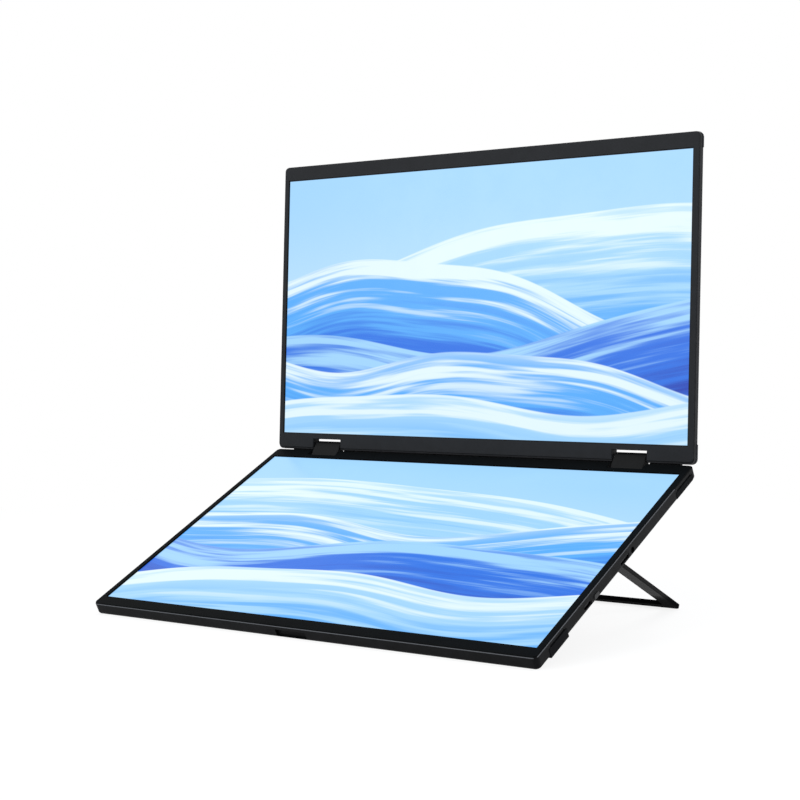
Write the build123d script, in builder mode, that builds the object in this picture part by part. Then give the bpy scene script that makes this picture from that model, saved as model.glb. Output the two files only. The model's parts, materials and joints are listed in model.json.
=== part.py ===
from build123d import *
import math
import os

# Dual-screen portable monitor: two display panels on geared hinges, with a folding stand.
# Millimetres. +X is to the right, -Y faces the user, +Z is up, and the table is at Z = 0.

# Display glass, a 15.6 inch diagonal at 16:9
display_width = 344.2
display_height = 193.6
screen_thickness = 1.0
screen_side_gap = 0.6
screen_hinge_gap = 0.4
module_thickness = 1.9
module_inset = 0.3

# Panel casings, measured from the edges of the lit display and from its plane
side_bezel = 4.9
hinge_bezel = 12.1
base_front_bezel = 9.4
lid_top_bezel = 11.0
corner_radius = 3.4
bezel_thickness = 0.8
bezel_step = 0.35
bezel_hinge_step = 1.2
bezel_edge_radius = 0.5
window_margin = 0.2
window_chamfer = 0.3
side_wall = 1.4
hinge_wall = 1.4
rim_chamfer = 0.3
base_floor = 1.3
base_edge_radius = 2.2
lid_depth = 6.6
lid_floor = 1.1
lid_edge_radius = 2.9
inner_gap = 0.4

# Pose of the panels: the base leans on its stand and the lid is open
base_tilt = 25.3
lid_angle = 119.0

# Hinge blocks and their shafts
hinge_from_side = 47.5
block_width = 24.0
block_gap = 1.2
block_thickness = 6.2
block_edge_radius = 0.5
notch_back_gap = 1.6
notch_wall = 1.2
shaft_radius = 1.1
shaft_setback = 3.15
lip_radius = 4.6
lip_pad_gap = 0.4
base_shaft_depth = 4.2
closed_gap = 0.8
running_clearance = 0.05
seat_clearance = 0.02
wall_hole_clearance = 0.15
end_plate_thickness = 2.4
gear_width = 5.2
gear_side_gap = 0.4
gear_tip_gap = 0.28
gear_teeth = 10
pressure_angle = 20.0
addendum_share = 0.85
dedendum_share = 1.2
backlash = 0.08
journal_radius = 0.7
journal_length = 1.6
journal_end_gap = 0.3
bracket_length = 18.0
ear_length = 8.0
bracket_gap = 0.3
bracket_wall_gap = 0.1
bracket_floor_gap = 0.05
bracket_foot_thickness = 0.9
bracket_foot_width = 7.4
sleeve_length = 6.0
sleeve_slot = 0.8

# Screws that hold each rear cover to its bezel, along the hinge edge
screw_side_inset = 19.0
screw_hinge_gap = 54.5
screw_inset = 5.5
screw_radius = 0.8
screw_head_radius = 1.6
screw_head_height = 0.9
screw_recess = 1.1
boss_radius = 2.0
post_length = 2.6
screw_tip_gap = 0.4

# Rubber feet of the base and corner pads of the lid
foot_proud = 0.8
foot_lip = 0.3
foot_reach = 14.0
foot_lip_drop = 3.2
foot_edge_radius = 0.6
front_foot_margin = 13.5
front_foot_length = 21.3
rear_foot_proud = 0.3
rear_foot_start = -7.0
rear_foot_length = 24.6
pad_reach = 11.0
pad_top_length = 10.6
pad_hinge_length = 13.2
pad_proud = 0.6
foot_slot_depth = 0.6
foot_slot_height = 1.2
foot_slot_inset = 2.0

# Stand: a U-shaped frame hinged in a recess in the back of the base
stand_side_margin = 23.0
stand_leg_width = 9.65
stand_bar_width = 7.9
stand_thickness = 3.0
stand_front_margin = 3.7
stand_pivot_from_display = 81.0
stand_corner_radius = 3.0
stand_inner_radius = 2.0
stand_edge_radius = 0.6
knuckle_radius = 1.9
pin_radius = 0.9
knuckle_gap = 0.3
pin_boss_length = 2.3
pin_boss_half_height = 4.5
strip_end_gap = 14.0
strip_width = 2.4
strip_proud = 0.5
recess_clearance = 0.5
recess_skin = 0.8
recess_wall = 1.2
recess_heel = 4.3

# Finger notch in the front wall
finger_notch_centre = -3.0
finger_notch_width = 24.3
finger_notch_depth = 1.9
finger_notch_drop = 2.4
finger_notch_lip = 0.9
finger_notch_wall = 1.0

# Sockets and push button on the right side, as distances in front of the display's hinge edge
jack_place = 81.9
jack_bore_radius = 1.8
jack_rim_radius = 2.05
jack_rim_gap = 0.12
jack_body_width = 6.0
jack_length = 13.0
hdmi_place = 92.85
hdmi_width = 11.2
hdmi_height = 3.0
hdmi_length = 8.0
hdmi_corner_share = 0.25
usb_place = 142.2
usb_width = 9.0
usb_height = 3.2
usb_length = 8.6
usb_corner_share = 0.46
shell_wall = 0.35
socket_clearance = 0.25
socket_setback = 0.3
tongue_thickness = 0.7
tongue_side_gap = 1.0
tongue_setback = 1.0
socket_back_wall = 1.0
button_place = 131.1
button_width = 6.2
button_height = 3.0
button_proud = 0.5
button_travel = 0.6
button_edge_radius = 0.25
button_clearance = 0.15
button_flange = 0.6
button_flange_thickness = 0.8
button_flange_gap = 0.1
switch_size = 3.0
switch_width = 6.0
plunger_radius = 0.7
plunger_gap = 0.05
plunger_length = 0.25

# Boards and speakers
board_thickness = 0.8
board_gap = 0.1
board_side_reach = 112.0
board_arm_length = 98.0
board_start = 40.0
board_wall_gap = 0.4
board_boss_gap = 0.2
board_recess_gap = 3.0
board_jack_gap = 0.3
standoff_radius = 1.6
standoff_inset = 3.2
driver_board_width = 220.0
driver_board_height = 11.0
driver_board_margin = 3.0
chip_size = 14.0
chip_height = 1.2
chip_spacing = 21.0
small_chip_width = 7.0
small_chip_length = 11.2
speaker_width = 34.0
speaker_height = 14.0
speaker_corner_radius = 3.5
speaker_from_side = 82.0
speaker_place = 32.0
speaker_gap = 0.3
grille_slots = 7
grille_pitch = 3.4
grille_slot_length = 9.0
grille_slot_width = 1.2

# Derived sizes
panel_width = display_width + 2 * side_bezel
half_width = panel_width / 2
base_front = display_height + base_front_bezel
lid_top = display_height + lid_top_bezel
hinge_offset = half_width - hinge_from_side
screw_spacings = (hinge_offset - screw_hinge_gap, half_width - screw_side_inset)
front_foot_start = base_front - front_foot_margin - front_foot_length
stand_half_width = half_width - stand_side_margin
stand_length = base_front - stand_pivot_from_display - stand_front_margin
strip_half_length = stand_half_width - strip_end_gap
speaker_centre = half_width - speaker_from_side
module_back = screen_thickness + module_thickness
recess_depth = 2 * (knuckle_radius + knuckle_gap)
base_depth = module_back + inner_gap + recess_skin + recess_depth
base_inside = base_depth - base_floor
lid_inside = lid_depth - lid_floor
shaft_y = hinge_bezel - shaft_setback
bracket_barrel = shaft_setback - hinge_wall - bracket_wall_gap
base_shaft_z = bezel_thickness - base_shaft_depth
lid_shaft_z = bracket_barrel + bracket_floor_gap - lid_inside
lid_shaft_depth = bezel_thickness - lid_shaft_z
hinge_spacing = base_shaft_depth + lid_shaft_depth + closed_gap
notch_edge = shaft_y - block_thickness / 2 - notch_back_gap
notch_half = block_width / 2 + block_gap
screen_side_border = side_bezel - side_wall - screen_side_gap
screen_hinge_border = notch_edge - notch_wall - screen_hinge_gap
screen_far_border = base_front_bezel - finger_notch_depth - finger_notch_wall
gear_pitch_radius = hinge_spacing / 6
gear_module = 2 * gear_pitch_radius / gear_teeth
gear_tip_radius = gear_pitch_radius + addendum_share * gear_module
gear_root_radius = gear_pitch_radius - dedendum_share * gear_module
pivot_y = -stand_pivot_from_display
pivot_z = knuckle_radius + knuckle_gap - base_depth
strip_radius = stand_thickness / 2
recess_top = base_depth - recess_depth
skin_top = recess_top - recess_skin
screw_y = hinge_bezel - screw_inset
board_face = module_back + board_gap
board_back = board_face + board_thickness
port_depth = board_back + usb_height / 2
jack_depth = (base_inside + board_face) / 2

# Heights over the table: the front edge of the base and the stand's strip both touch it
tilt_sin = math.sin(math.radians(base_tilt))
tilt_cos = math.cos(math.radians(base_tilt))
edge_y = base_edge_radius - base_front
edge_z = base_edge_radius - base_depth
display_rise = base_edge_radius - edge_y * tilt_sin - edge_z * tilt_cos
pivot_rise = display_rise + pivot_y * tilt_sin + pivot_z * tilt_cos
stand_slope = math.degrees(math.asin((pivot_rise - strip_radius) / (stand_length - strip_radius)))

# The origin lies halfway between the front edge of the base and the back of the stand
front_reach = base_front * tilt_cos - rim_chamfer * tilt_sin
stand_run = (stand_length - strip_radius) * math.cos(math.radians(stand_slope)) + strip_radius
rear_reach = pivot_y * tilt_cos - pivot_z * tilt_sin + stand_run
display_run = (front_reach - rear_reach) / 2


def direction(angle):
    """Unit vector in the Y-Z plane, at an angle over the table."""
    return Vector(0, math.cos(math.radians(angle)), math.sin(math.radians(angle)))


def frame_at(origin, angle):
    """Plane whose local Y rises at an angle, with local X to the right."""
    return Plane(origin=origin, x_dir=(1, 0, 0), z_dir=direction(angle + 90))


# Frames: each panel's local Y runs to its hinge edge and its local Z out of the screen
base_frame = frame_at((0, display_run, display_rise), base_tilt)
base_shaft = base_frame.from_local_coords(Vector(0, shaft_y, base_shaft_z))
block_angle = base_tilt + 90 - lid_angle / 2
block_direction = direction(block_angle)
lid_shaft = base_shaft + block_direction * hinge_spacing
lid_y_angle = base_tilt - lid_angle
lid_origin = lid_shaft - direction(lid_y_angle) * shaft_y - direction(lid_y_angle - 90) * lid_shaft_z
lid_frame = Plane(origin=lid_origin, x_dir=(-1, 0, 0), z_dir=direction(lid_y_angle - 90))
stand_pivot = base_frame.from_local_coords(Vector(0, pivot_y, pivot_z))
stand_frame_plane = frame_at(stand_pivot, -stand_slope)


def across(frame, x, y, z):
    """Plane square to +X at a local point, with its own X along the frame's Y."""
    return Plane(
        origin=frame.from_local_coords(Vector(x, y, z)),
        x_dir=frame.y_dir,
        z_dir=(1, 0, 0),
    )


def block_plane(x, distance):
    """Plane square to +X at a distance from the base shaft along the hinge block."""
    origin = base_shaft + block_direction * distance + Vector(x, 0, 0)
    return Plane(origin=origin, x_dir=block_direction, z_dir=(1, 0, 0))


def panel_axis(frame):
    """Axis out of a panel's screen, for choosing its front and back faces."""
    return Axis(frame.origin, frame.z_dir)


def panel_outline(frame, far_edge):
    """Rounded outline of a panel."""
    with BuildSketch(frame) as outline:
        with Locations((0, (hinge_bezel - far_edge) / 2)):
            RectangleRounded(panel_width, hinge_bezel + far_edge, corner_radius)
    return outline.sketch


def notch_outline(frame):
    """The two notches in a panel's hinge edge that the hinge blocks turn in."""
    with BuildSketch(frame) as notches:
        with Locations((-hinge_offset, hinge_bezel), (hinge_offset, hinge_bezel)):
            Rectangle(2 * notch_half, 2 * (hinge_bezel - notch_edge))
    return notches.sketch


def cavity_outline(frame, far_edge):
    """Inside of a panel's casing, with walls left standing round the notches."""
    top = hinge_bezel - hinge_wall
    bottom = side_wall - far_edge
    low = notch_edge - notch_wall
    with BuildSketch(frame) as cavity:
        with Locations((0, (top + bottom) / 2)):
            RectangleRounded(panel_width - 2 * side_wall, top - bottom, corner_radius - side_wall)
        with Locations((-hinge_offset, (low + top) / 2), (hinge_offset, (low + top) / 2)):
            Rectangle(2 * (notch_half + notch_wall), top - low, mode=Mode.SUBTRACT)
    return cavity.sketch


def screw_points():
    """Places of the cover screws along the hinge edge."""
    places = [(0.0, screw_y)]
    for spacing in screw_spacings:
        places += [(-spacing, screw_y), (spacing, screw_y)]
    return places


def circles(frame, height, points, radius):
    """Equal circles at local points, on a plane at a height over the display."""
    with BuildSketch(frame.offset(height)) as group:
        with Locations(*points):
            Circle(radius)
    return group.sketch


def envelope(frame, far_edge, depth, edge_radius):
    """Outside of a rear cover, as if it were solid."""
    with BuildPart() as block:
        extrude(panel_outline(frame, far_edge), amount=-depth)
        back = block.faces().sort_by(panel_axis(frame))[0]
        fillet(back.edges(), edge_radius)
        rim = block.faces().sort_by(panel_axis(frame))[-1]
        chamfer(rim.edges(), rim_chamfer)
    return block.part


def cover_shell(frame, far_edge, depth, floor, edge_radius, shaft_z):
    """Rear cover of a panel: walls, floor, hinge notches, shaft holes and screw bosses."""
    inside = depth - floor
    boss_height = inside - post_length
    hole = shaft_radius + wall_hole_clearance
    with BuildPart() as shell:
        add(envelope(frame, far_edge, depth, edge_radius))
        extrude(cavity_outline(frame, far_edge), amount=-inside, mode=Mode.SUBTRACT)
        extrude(notch_outline(frame), amount=-depth, mode=Mode.SUBTRACT)
        extrude(circles(frame, -inside, screw_points(), boss_radius), amount=boss_height)
        hole_circles = circles(frame, -depth, screw_points(), screw_radius + seat_clearance)
        extrude(hole_circles, amount=depth, mode=Mode.SUBTRACT)
        head_circles = circles(frame, -depth, screw_points(), screw_head_radius + wall_hole_clearance)
        extrude(head_circles, amount=screw_recess, mode=Mode.SUBTRACT)
        for side in (-1, 1):
            start = side * hinge_offset - notch_half - 2 * notch_wall
            with BuildSketch(across(frame, 0, shaft_y, shaft_z).offset(start)):
                Circle(hole)
            extrude(amount=2 * notch_half + 4 * notch_wall, mode=Mode.SUBTRACT)
    return shell.part


def hinge_lip():
    """Rounded lip under the lid's hinge edge, drawn about its shafts, that hides the slot over the base."""
    inner = hinge_offset - notch_half
    outer = hinge_offset + notch_half
    end = half_width - pad_reach - lip_pad_gap
    with BuildPart() as lip:
        for start, stop in ((-end, -outer), (-inner, inner), (outer, end)):
            with BuildSketch(across(lid_frame, 0, shaft_y, lid_shaft_z).offset(start)):
                Circle(lip_radius)
                with Locations((shaft_setback - hinge_wall / 2, 0)):
                    Rectangle(
                        lip_radius,
                        -lid_shaft_z - rim_chamfer,
                        align=(Align.MIN, Align.MIN),
                        mode=Mode.INTERSECT,
                    )
            extrude(amount=stop - start)
    return lip.part


def bezel_frame(frame, far_edge):
    """Front bezel of a panel: a thin frame with a window, hinge notches and screw posts."""
    top = hinge_bezel - bezel_hinge_step
    bottom = bezel_step - far_edge
    low = notch_edge
    with BuildPart() as bezel:
        with BuildSketch(frame):
            with Locations((0, (top + bottom) / 2)):
                RectangleRounded(panel_width - 2 * bezel_step, top - bottom, corner_radius - bezel_step)
            with Locations((0, -display_height / 2)):
                Rectangle(
                    display_width + 2 * window_margin,
                    display_height + 2 * window_margin,
                    mode=Mode.SUBTRACT,
                )
            with Locations((-hinge_offset, (low + top) / 2), (hinge_offset, (low + top) / 2)):
                Rectangle(2 * notch_half, top - low, mode=Mode.SUBTRACT)
        extrude(amount=bezel_thickness)
        face = bezel.faces().sort_by(panel_axis(frame))[-1]
        fillet(face.outer_wire().edges(), bezel_edge_radius)
        face = bezel.faces().sort_by(panel_axis(frame))[-1]
        chamfer(face.inner_wires()[0].edges(), window_chamfer)
        extrude(circles(frame, -post_length, screw_points(), boss_radius), amount=post_length)
        pilot = circles(frame, -post_length, screw_points(), screw_radius + seat_clearance)
        extrude(pilot, amount=post_length - screw_tip_gap, mode=Mode.SUBTRACT)
    return bezel.part


def screen_outline(frame, height, inset=0.0):
    """Glass outline of a display, with its dead borders."""
    top = screen_hinge_border - inset
    bottom = inset - display_height - screen_far_border
    with BuildSketch(frame.offset(height)) as glass:
        with Locations((0, (top + bottom) / 2)):
            Rectangle(display_width + 2 * (screen_side_border - inset), top - bottom)
    return glass.sketch


def screen_glass(frame):
    """Front glass of a display, flat against the back of the bezel."""
    with BuildPart() as glass:
        extrude(screen_outline(frame, 0.0), amount=-screen_thickness)
    return glass.part


def lcd_module(frame):
    """Backlight and panel module behind the glass."""
    with BuildPart() as module:
        extrude(screen_outline(frame, -screen_thickness, module_inset), amount=-module_thickness)
    return module.part


def hinge_brackets(frame, shaft_z, floor_z):
    """Steel feet that clamp the shafts: a long bracket inside each notch and a short ear outside."""
    foot_middle = shaft_y + bracket_barrel - bracket_foot_width / 2
    web_height = shaft_z - floor_z
    near = notch_half + notch_wall + bracket_gap
    with BuildPart() as brackets:
        for side in (-1, 1):
            inner = near + bracket_gap + sleeve_length
            spans = ((-inner - bracket_length, bracket_length), (near, ear_length))
            for start, length in spans:
                first = start if side > 0 else -start - length
                plane = across(frame, 0, shaft_y, shaft_z).offset(side * hinge_offset + first)
                with BuildSketch(plane):
                    Circle(bracket_barrel)
                    with Locations((bracket_barrel / 2, -web_height / 2)):
                        Rectangle(bracket_barrel, web_height)
                    with Locations((foot_middle - shaft_y, bracket_foot_thickness / 2 - web_height)):
                        Rectangle(bracket_foot_width, bracket_foot_thickness)
                    Circle(shaft_radius + seat_clearance, mode=Mode.SUBTRACT)
                extrude(amount=length)
    return brackets.part


def friction_sleeves(frame, shaft_z):
    """Split spring sleeves that grip the shafts beside the long brackets."""
    start = notch_half + notch_wall + bracket_gap
    with BuildPart() as sleeves:
        for side in (-1, 1):
            first = -start - sleeve_length if side > 0 else start
            plane = across(frame, 0, shaft_y, shaft_z).offset(side * hinge_offset + first)
            with BuildSketch(plane):
                Circle(bracket_barrel)
                Circle(shaft_radius + seat_clearance, mode=Mode.SUBTRACT)
                with Locations((-bracket_barrel, 0)):
                    Rectangle(2 * bracket_barrel, sleeve_slot, mode=Mode.SUBTRACT)
            extrude(amount=sleeve_length)
    return sleeves.part


def gear_outline(plane, first_tooth):
    """Spur gear with involute flanks: each tooth has root, pitch and tip points on both sides."""
    pressure = math.radians(pressure_angle)
    base_radius = gear_pitch_radius * math.cos(pressure)
    pitch_half = math.pi / (2 * gear_teeth) - backlash / (2 * gear_pitch_radius)

    def involute(radius):
        angle = math.acos(min(1.0, base_radius / radius))
        return math.tan(angle) - angle

    def half_width_at(radius):
        return pitch_half + involute(gear_pitch_radius) - involute(max(radius, base_radius))

    flank = (gear_root_radius, gear_pitch_radius, gear_tip_radius)
    points = []
    for tooth in range(gear_teeth):
        middle = math.radians(first_tooth) + 2 * math.pi * tooth / gear_teeth
        rising = [(radius, middle - half_width_at(radius)) for radius in flank]
        falling = [(radius, middle + half_width_at(radius)) for radius in reversed(flank)]
        for radius, angle in rising + falling:
            points.append((radius * math.cos(angle), radius * math.sin(angle)))
    with BuildSketch(plane) as gear:
        with BuildLine():
            Polyline(*points, close=True)
        make_face()
    return gear.sketch


def gear_start(side):
    """Lowest X of the gears in the block on one side."""
    outer = hinge_offset + block_width / 2 - end_plate_thickness - gear_side_gap
    return outer - gear_width if side > 0 else -outer


def hinge_shafts(distance, first_tooth):
    """Both shafts at one end of the blocks, each with its gear teeth."""
    near = notch_half + notch_wall + bracket_gap
    inner = near + bracket_gap + sleeve_length + bracket_length
    outer = near + ear_length
    with BuildPart() as shafts:
        for side in (-1, 1):
            start = hinge_offset - inner if side > 0 else -hinge_offset - outer
            with BuildSketch(block_plane(start, distance)):
                Circle(shaft_radius)
            extrude(amount=inner + outer)
            extrude(gear_outline(block_plane(gear_start(side), distance), first_tooth), amount=gear_width)
    return shafts.part


def idler_gears(step, first_tooth):
    """Left and right idler gears at one step along the blocks, with their journals."""
    distance = step * 2 * gear_pitch_radius
    with BuildPart() as gears:
        for side in (-1, 1):
            start = gear_start(side)
            extrude(gear_outline(block_plane(start, distance), first_tooth), amount=gear_width)
            with BuildSketch(block_plane(start - gear_side_gap - journal_length, distance)):
                Circle(journal_radius)
            extrude(amount=gear_width + 2 * (gear_side_gap + journal_length))
    return gears.part


def journal_holes(start, amount):
    """Blind holes for the idlers' journals, from a face at X = start."""
    with BuildSketch(block_plane(start, 0)) as holes:
        with Locations((2 * gear_pitch_radius, 0), (4 * gear_pitch_radius, 0)):
            Circle(journal_radius + running_clearance)
    return extrude(holes.sketch, amount=amount, mode=Mode.PRIVATE)


def block_outline(x, thickness):
    """Stadium section of a hinge block, round about both shafts."""
    with BuildSketch(block_plane(x, hinge_spacing / 2)) as section:
        SlotCenterToCenter(hinge_spacing, thickness)
    return section.sketch


def shaft_holes(x):
    """Running holes for both shafts."""
    with BuildSketch(block_plane(x, 0)) as holes:
        with Locations((0, 0), (hinge_spacing, 0)):
            Circle(shaft_radius + running_clearance)
    return holes.sketch


def hinge_block(side):
    """Hinge block housing with its gear pocket open towards the end plate."""
    inner = hinge_offset - block_width / 2
    length = block_width - end_plate_thickness
    pocket = gear_width + 2 * gear_side_gap
    pocket_thickness = 2 * (gear_tip_radius + gear_tip_gap)
    start = inner if side > 0 else -inner - length
    pocket_start = inner + length - pocket if side > 0 else -inner - length
    hole_face = pocket_start if side > 0 else pocket_start + pocket
    hole_reach = -side * (journal_length + journal_end_gap)
    closed_face = Axis((0, 0, 0), (side, 0, 0))
    with BuildPart() as block:
        extrude(block_outline(start, block_thickness), amount=length)
        fillet(block.faces().sort_by(closed_face)[0].edges(), block_edge_radius)
        extrude(block_outline(pocket_start, pocket_thickness), amount=pocket, mode=Mode.SUBTRACT)
        extrude(shaft_holes(start), amount=length, mode=Mode.SUBTRACT)
        add(journal_holes(hole_face, hole_reach), mode=Mode.SUBTRACT)
    return block.part


def end_plates():
    """Plates that close the gear pockets at the outer ends of the blocks."""
    outer = hinge_offset + block_width / 2
    with BuildPart() as plates:
        for side in (-1, 1):
            start = outer - end_plate_thickness if side > 0 else -outer
            inner_face = side * (outer - end_plate_thickness)
            extrude(block_outline(start, block_thickness), amount=end_plate_thickness)
            extrude(shaft_holes(start), amount=end_plate_thickness, mode=Mode.SUBTRACT)
            reach = side * (journal_length + journal_end_gap)
            add(journal_holes(inner_face, reach), mode=Mode.SUBTRACT)
        ends = plates.faces().filter_by(Axis.X).sort_by(Axis.X)
        fillet(ends[0].outer_wire().edges() + ends[-1].outer_wire().edges(), block_edge_radius)
    return plates.part


def cover_screws(frame, depth):
    """Screws from the back of a cover into the posts of its bezel."""
    seat = -depth + screw_recess
    shank = depth - screw_recess - 2 * screw_tip_gap
    with BuildPart() as screws:
        extrude(circles(frame, seat, screw_points(), screw_head_radius), amount=-screw_head_height)
        extrude(circles(frame, seat, screw_points(), screw_radius), amount=shank)
    return screws.part


os.makedirs("parts", exist_ok=True)


# Base: rear cover with the stand's recess, sockets, finger notch, feet slots and grilles
def stand_space(height, margin, heel):
    """Outline of the folded stand on the back of the base, drawn out by a margin."""
    front = pivot_y - stand_length - margin
    rear = pivot_y + heel
    bar_edge = pivot_y - stand_length + stand_bar_width + margin
    inner = stand_half_width - stand_leg_width - margin
    with BuildSketch(base_frame.offset(height)) as space:
        with Locations((0, (front + rear) / 2)):
            Rectangle(2 * (stand_half_width + margin), rear - front)
        fillet(space.vertices().sort_by(Axis.Y)[:2], stand_corner_radius + margin)
        with Locations((0, (bar_edge + rear) / 2)):
            Rectangle(2 * inner, rear - bar_edge, mode=Mode.SUBTRACT)
        fillet(space.vertices().group_by(Axis.Y)[-2], stand_inner_radius)
    return space.sketch


def side_plane(place, depth=port_depth):
    """Plane on the right-hand wall of the base, at the height of the sockets."""
    return across(base_frame, half_width, -place, -depth)


def feet_spans():
    """Front and rear feet of the base: start, length, proud height and edge radius."""
    rear_radius = base_edge_radius + rear_foot_proud
    return ((-front_foot_start - front_foot_length, front_foot_length, foot_proud, foot_edge_radius),
            (-rear_foot_start - rear_foot_length, rear_foot_length, rear_foot_proud, rear_radius))


leg_middle = stand_half_width - stand_leg_width / 2
slot_width = stand_leg_width + 2 * recess_clearance
board_left = leg_middle + slot_width / 2 + pin_boss_length + board_boss_gap
board_right = half_width - side_wall - board_wall_gap
board_arm_width = -pivot_y - recess_heel - recess_wall - board_recess_gap - board_start
recess_front = stand_pivot_from_display + stand_length + recess_clearance
standoff_points = (
    (board_right - standoff_inset, -board_start - standoff_inset),
    (board_left - board_arm_length + standoff_inset, -board_start - standoff_inset),
    (board_left + standoff_inset, standoff_inset - board_start - board_side_reach),
)

with BuildPart() as base_rear_cover:
    add(cover_shell(base_frame, base_front, base_depth, base_floor, base_edge_radius, base_shaft_z))
    # Raised skin over the stand's recess, its pin bosses and the solid behind the finger notch
    extrude(stand_space(-base_inside, recess_clearance + recess_wall, recess_heel + recess_wall),
            amount=base_inside - skin_top)
    with BuildSketch(base_frame.offset(-base_inside)):
        with Locations((-leg_middle, pivot_y), (leg_middle, pivot_y)):
            Rectangle(slot_width + 2 * pin_boss_length, 2 * pin_boss_half_height)
        with Locations((0, -(recess_front + base_front - side_wall / 2) / 2)):
            Rectangle(2 * stand_half_width, base_front - side_wall / 2 - recess_front)
    extrude(amount=base_inside - skin_top)
    with BuildSketch(base_frame.offset(-base_inside)):
        with Locations((finger_notch_centre, side_wall / 2 - base_front)):
            Rectangle(
                finger_notch_width + 2 * finger_notch_wall,
                finger_notch_depth + finger_notch_wall - side_wall / 2,
                align=(Align.CENTER, Align.MIN),
            )
    extrude(amount=base_inside - finger_notch_drop + finger_notch_wall)
    # Recess that the stand folds into, and the holes for its pins
    recess_outline = stand_space(-base_depth, recess_clearance, recess_heel)
    extrude(recess_outline, amount=recess_depth, mode=Mode.SUBTRACT)
    for side in (-1, 1):
        pin_start = side * leg_middle - slot_width / 2 - pin_boss_length
        with BuildSketch(across(base_frame, pin_start, pivot_y, pivot_z)):
            Circle(pin_radius + seat_clearance)
        extrude(amount=slot_width + 2 * pin_boss_length, mode=Mode.SUBTRACT)
    # Finger notch, over a lip along the lower edge
    with BuildSketch(base_frame.offset(-finger_notch_drop)):
        with Locations((finger_notch_centre, finger_notch_depth - base_front)):
            Rectangle(finger_notch_width, 2 * finger_notch_depth, align=(Align.CENTER, Align.MAX))
    extrude(amount=finger_notch_drop + finger_notch_lip - base_depth, mode=Mode.SUBTRACT)
    # Sockets and push button in the right-hand wall
    with BuildSketch(side_plane(jack_place, jack_depth)):
        Circle(jack_rim_radius)
    extrude(amount=-side_wall, mode=Mode.SUBTRACT)
    with BuildSketch(side_plane(hdmi_place)):
        RectangleRounded(
            hdmi_width + 2 * socket_clearance,
            hdmi_height + 2 * socket_clearance,
            hdmi_corner_share * hdmi_height,
        )
    extrude(amount=-side_wall, mode=Mode.SUBTRACT)
    with BuildSketch(side_plane(usb_place)):
        SlotOverall(usb_width + 2 * socket_clearance, usb_height + 2 * socket_clearance)
    extrude(amount=-side_wall, mode=Mode.SUBTRACT)
    with BuildSketch(side_plane(button_place)):
        SlotOverall(button_width + 2 * button_clearance, button_height + 2 * button_clearance)
    extrude(amount=-side_wall, mode=Mode.SUBTRACT)
    # Grooves over the feet on both side walls
    groove_z = foot_slot_height / 2 - foot_lip_drop
    for start, length, *_ in feet_spans():
        for side in (-1, 1):
            wall_plane = across(base_frame, side * half_width, start + length / 2, groove_z)
            with BuildSketch(wall_plane):
                Rectangle(length - 2 * foot_slot_inset, foot_slot_height)
            extrude(amount=foot_slot_depth, both=True, mode=Mode.SUBTRACT)
    # Standoffs under the main board, and grille slots under the speakers
    with BuildSketch(base_frame.offset(-base_inside)):
        with Locations(*standoff_points):
            Circle(standoff_radius)
    extrude(amount=base_inside - board_back)
    with BuildSketch(base_frame.offset(-base_depth)):
        for side in (-1, 1):
            with Locations((side * speaker_centre, -speaker_place)):
                with GridLocations(grille_pitch, grille_pitch, grille_slots, 1):
                    SlotOverall(grille_slot_length, grille_slot_width, rotation=90)
    extrude(amount=base_floor, mode=Mode.SUBTRACT)
base_rear_cover.part.label = "base_rear_cover"
export_step(base_rear_cover.part, "parts/base_rear_cover.step")

with BuildPart() as base_front_bezel:
    add(bezel_frame(base_frame, base_front))
base_front_bezel.part.label = "base_front_bezel"
export_step(base_front_bezel.part, "parts/base_front_bezel.step")

with BuildPart() as base_screen:
    add(screen_glass(base_frame))
base_screen.part.label = "base_screen"
export_step(base_screen.part, "parts/base_screen.step")

with BuildPart() as base_lcd_module:
    add(lcd_module(base_frame))
base_lcd_module.part.label = "base_lcd_module"
export_step(base_lcd_module.part, "parts/base_lcd_module.step")

with BuildPart() as base_cover_screws:
    add(cover_screws(base_frame, base_depth))
base_cover_screws.part.label = "base_cover_screws"
export_step(base_cover_screws.part, "parts/base_cover_screws.step")

with BuildPart() as base_hinge_brackets:
    add(hinge_brackets(base_frame, base_shaft_z, -base_inside))
base_hinge_brackets.part.label = "base_hinge_brackets"
export_step(base_hinge_brackets.part, "parts/base_hinge_brackets.step")

with BuildPart() as base_friction_sleeves:
    add(friction_sleeves(base_frame, base_shaft_z))
base_friction_sleeves.part.label = "base_friction_sleeves"
export_step(base_friction_sleeves.part, "parts/base_friction_sleeves.step")

with BuildPart() as base_hinge_shafts:
    add(hinge_shafts(0, 0))
base_hinge_shafts.part.label = "base_hinge_shafts"
export_step(base_hinge_shafts.part, "parts/base_hinge_shafts.step")

# Rubber feet that wrap the lower side edges of the base
with BuildPart() as base_feet:
    for start, length, proud, radius in feet_spans():
        with BuildPart(mode=Mode.PRIVATE) as pair:
            with BuildSketch(base_frame.offset(-base_depth - proud)):
                for side in (-1, 1):
                    with Locations((side * (half_width + foot_lip - foot_reach / 2), start + length / 2)):
                        Rectangle(foot_reach, length)
            extrude(amount=base_depth + proud - foot_lip_drop)
            soles = pair.faces().sort_by(panel_axis(base_frame))[0:2]
            fillet([edge for sole in soles for edge in sole.edges()], radius)
        add(pair.part)
    add(envelope(base_frame, base_front, base_depth, base_edge_radius), mode=Mode.SUBTRACT)
base_feet.part.label = "base_feet"
export_step(base_feet.part, "parts/base_feet.step")

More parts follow.
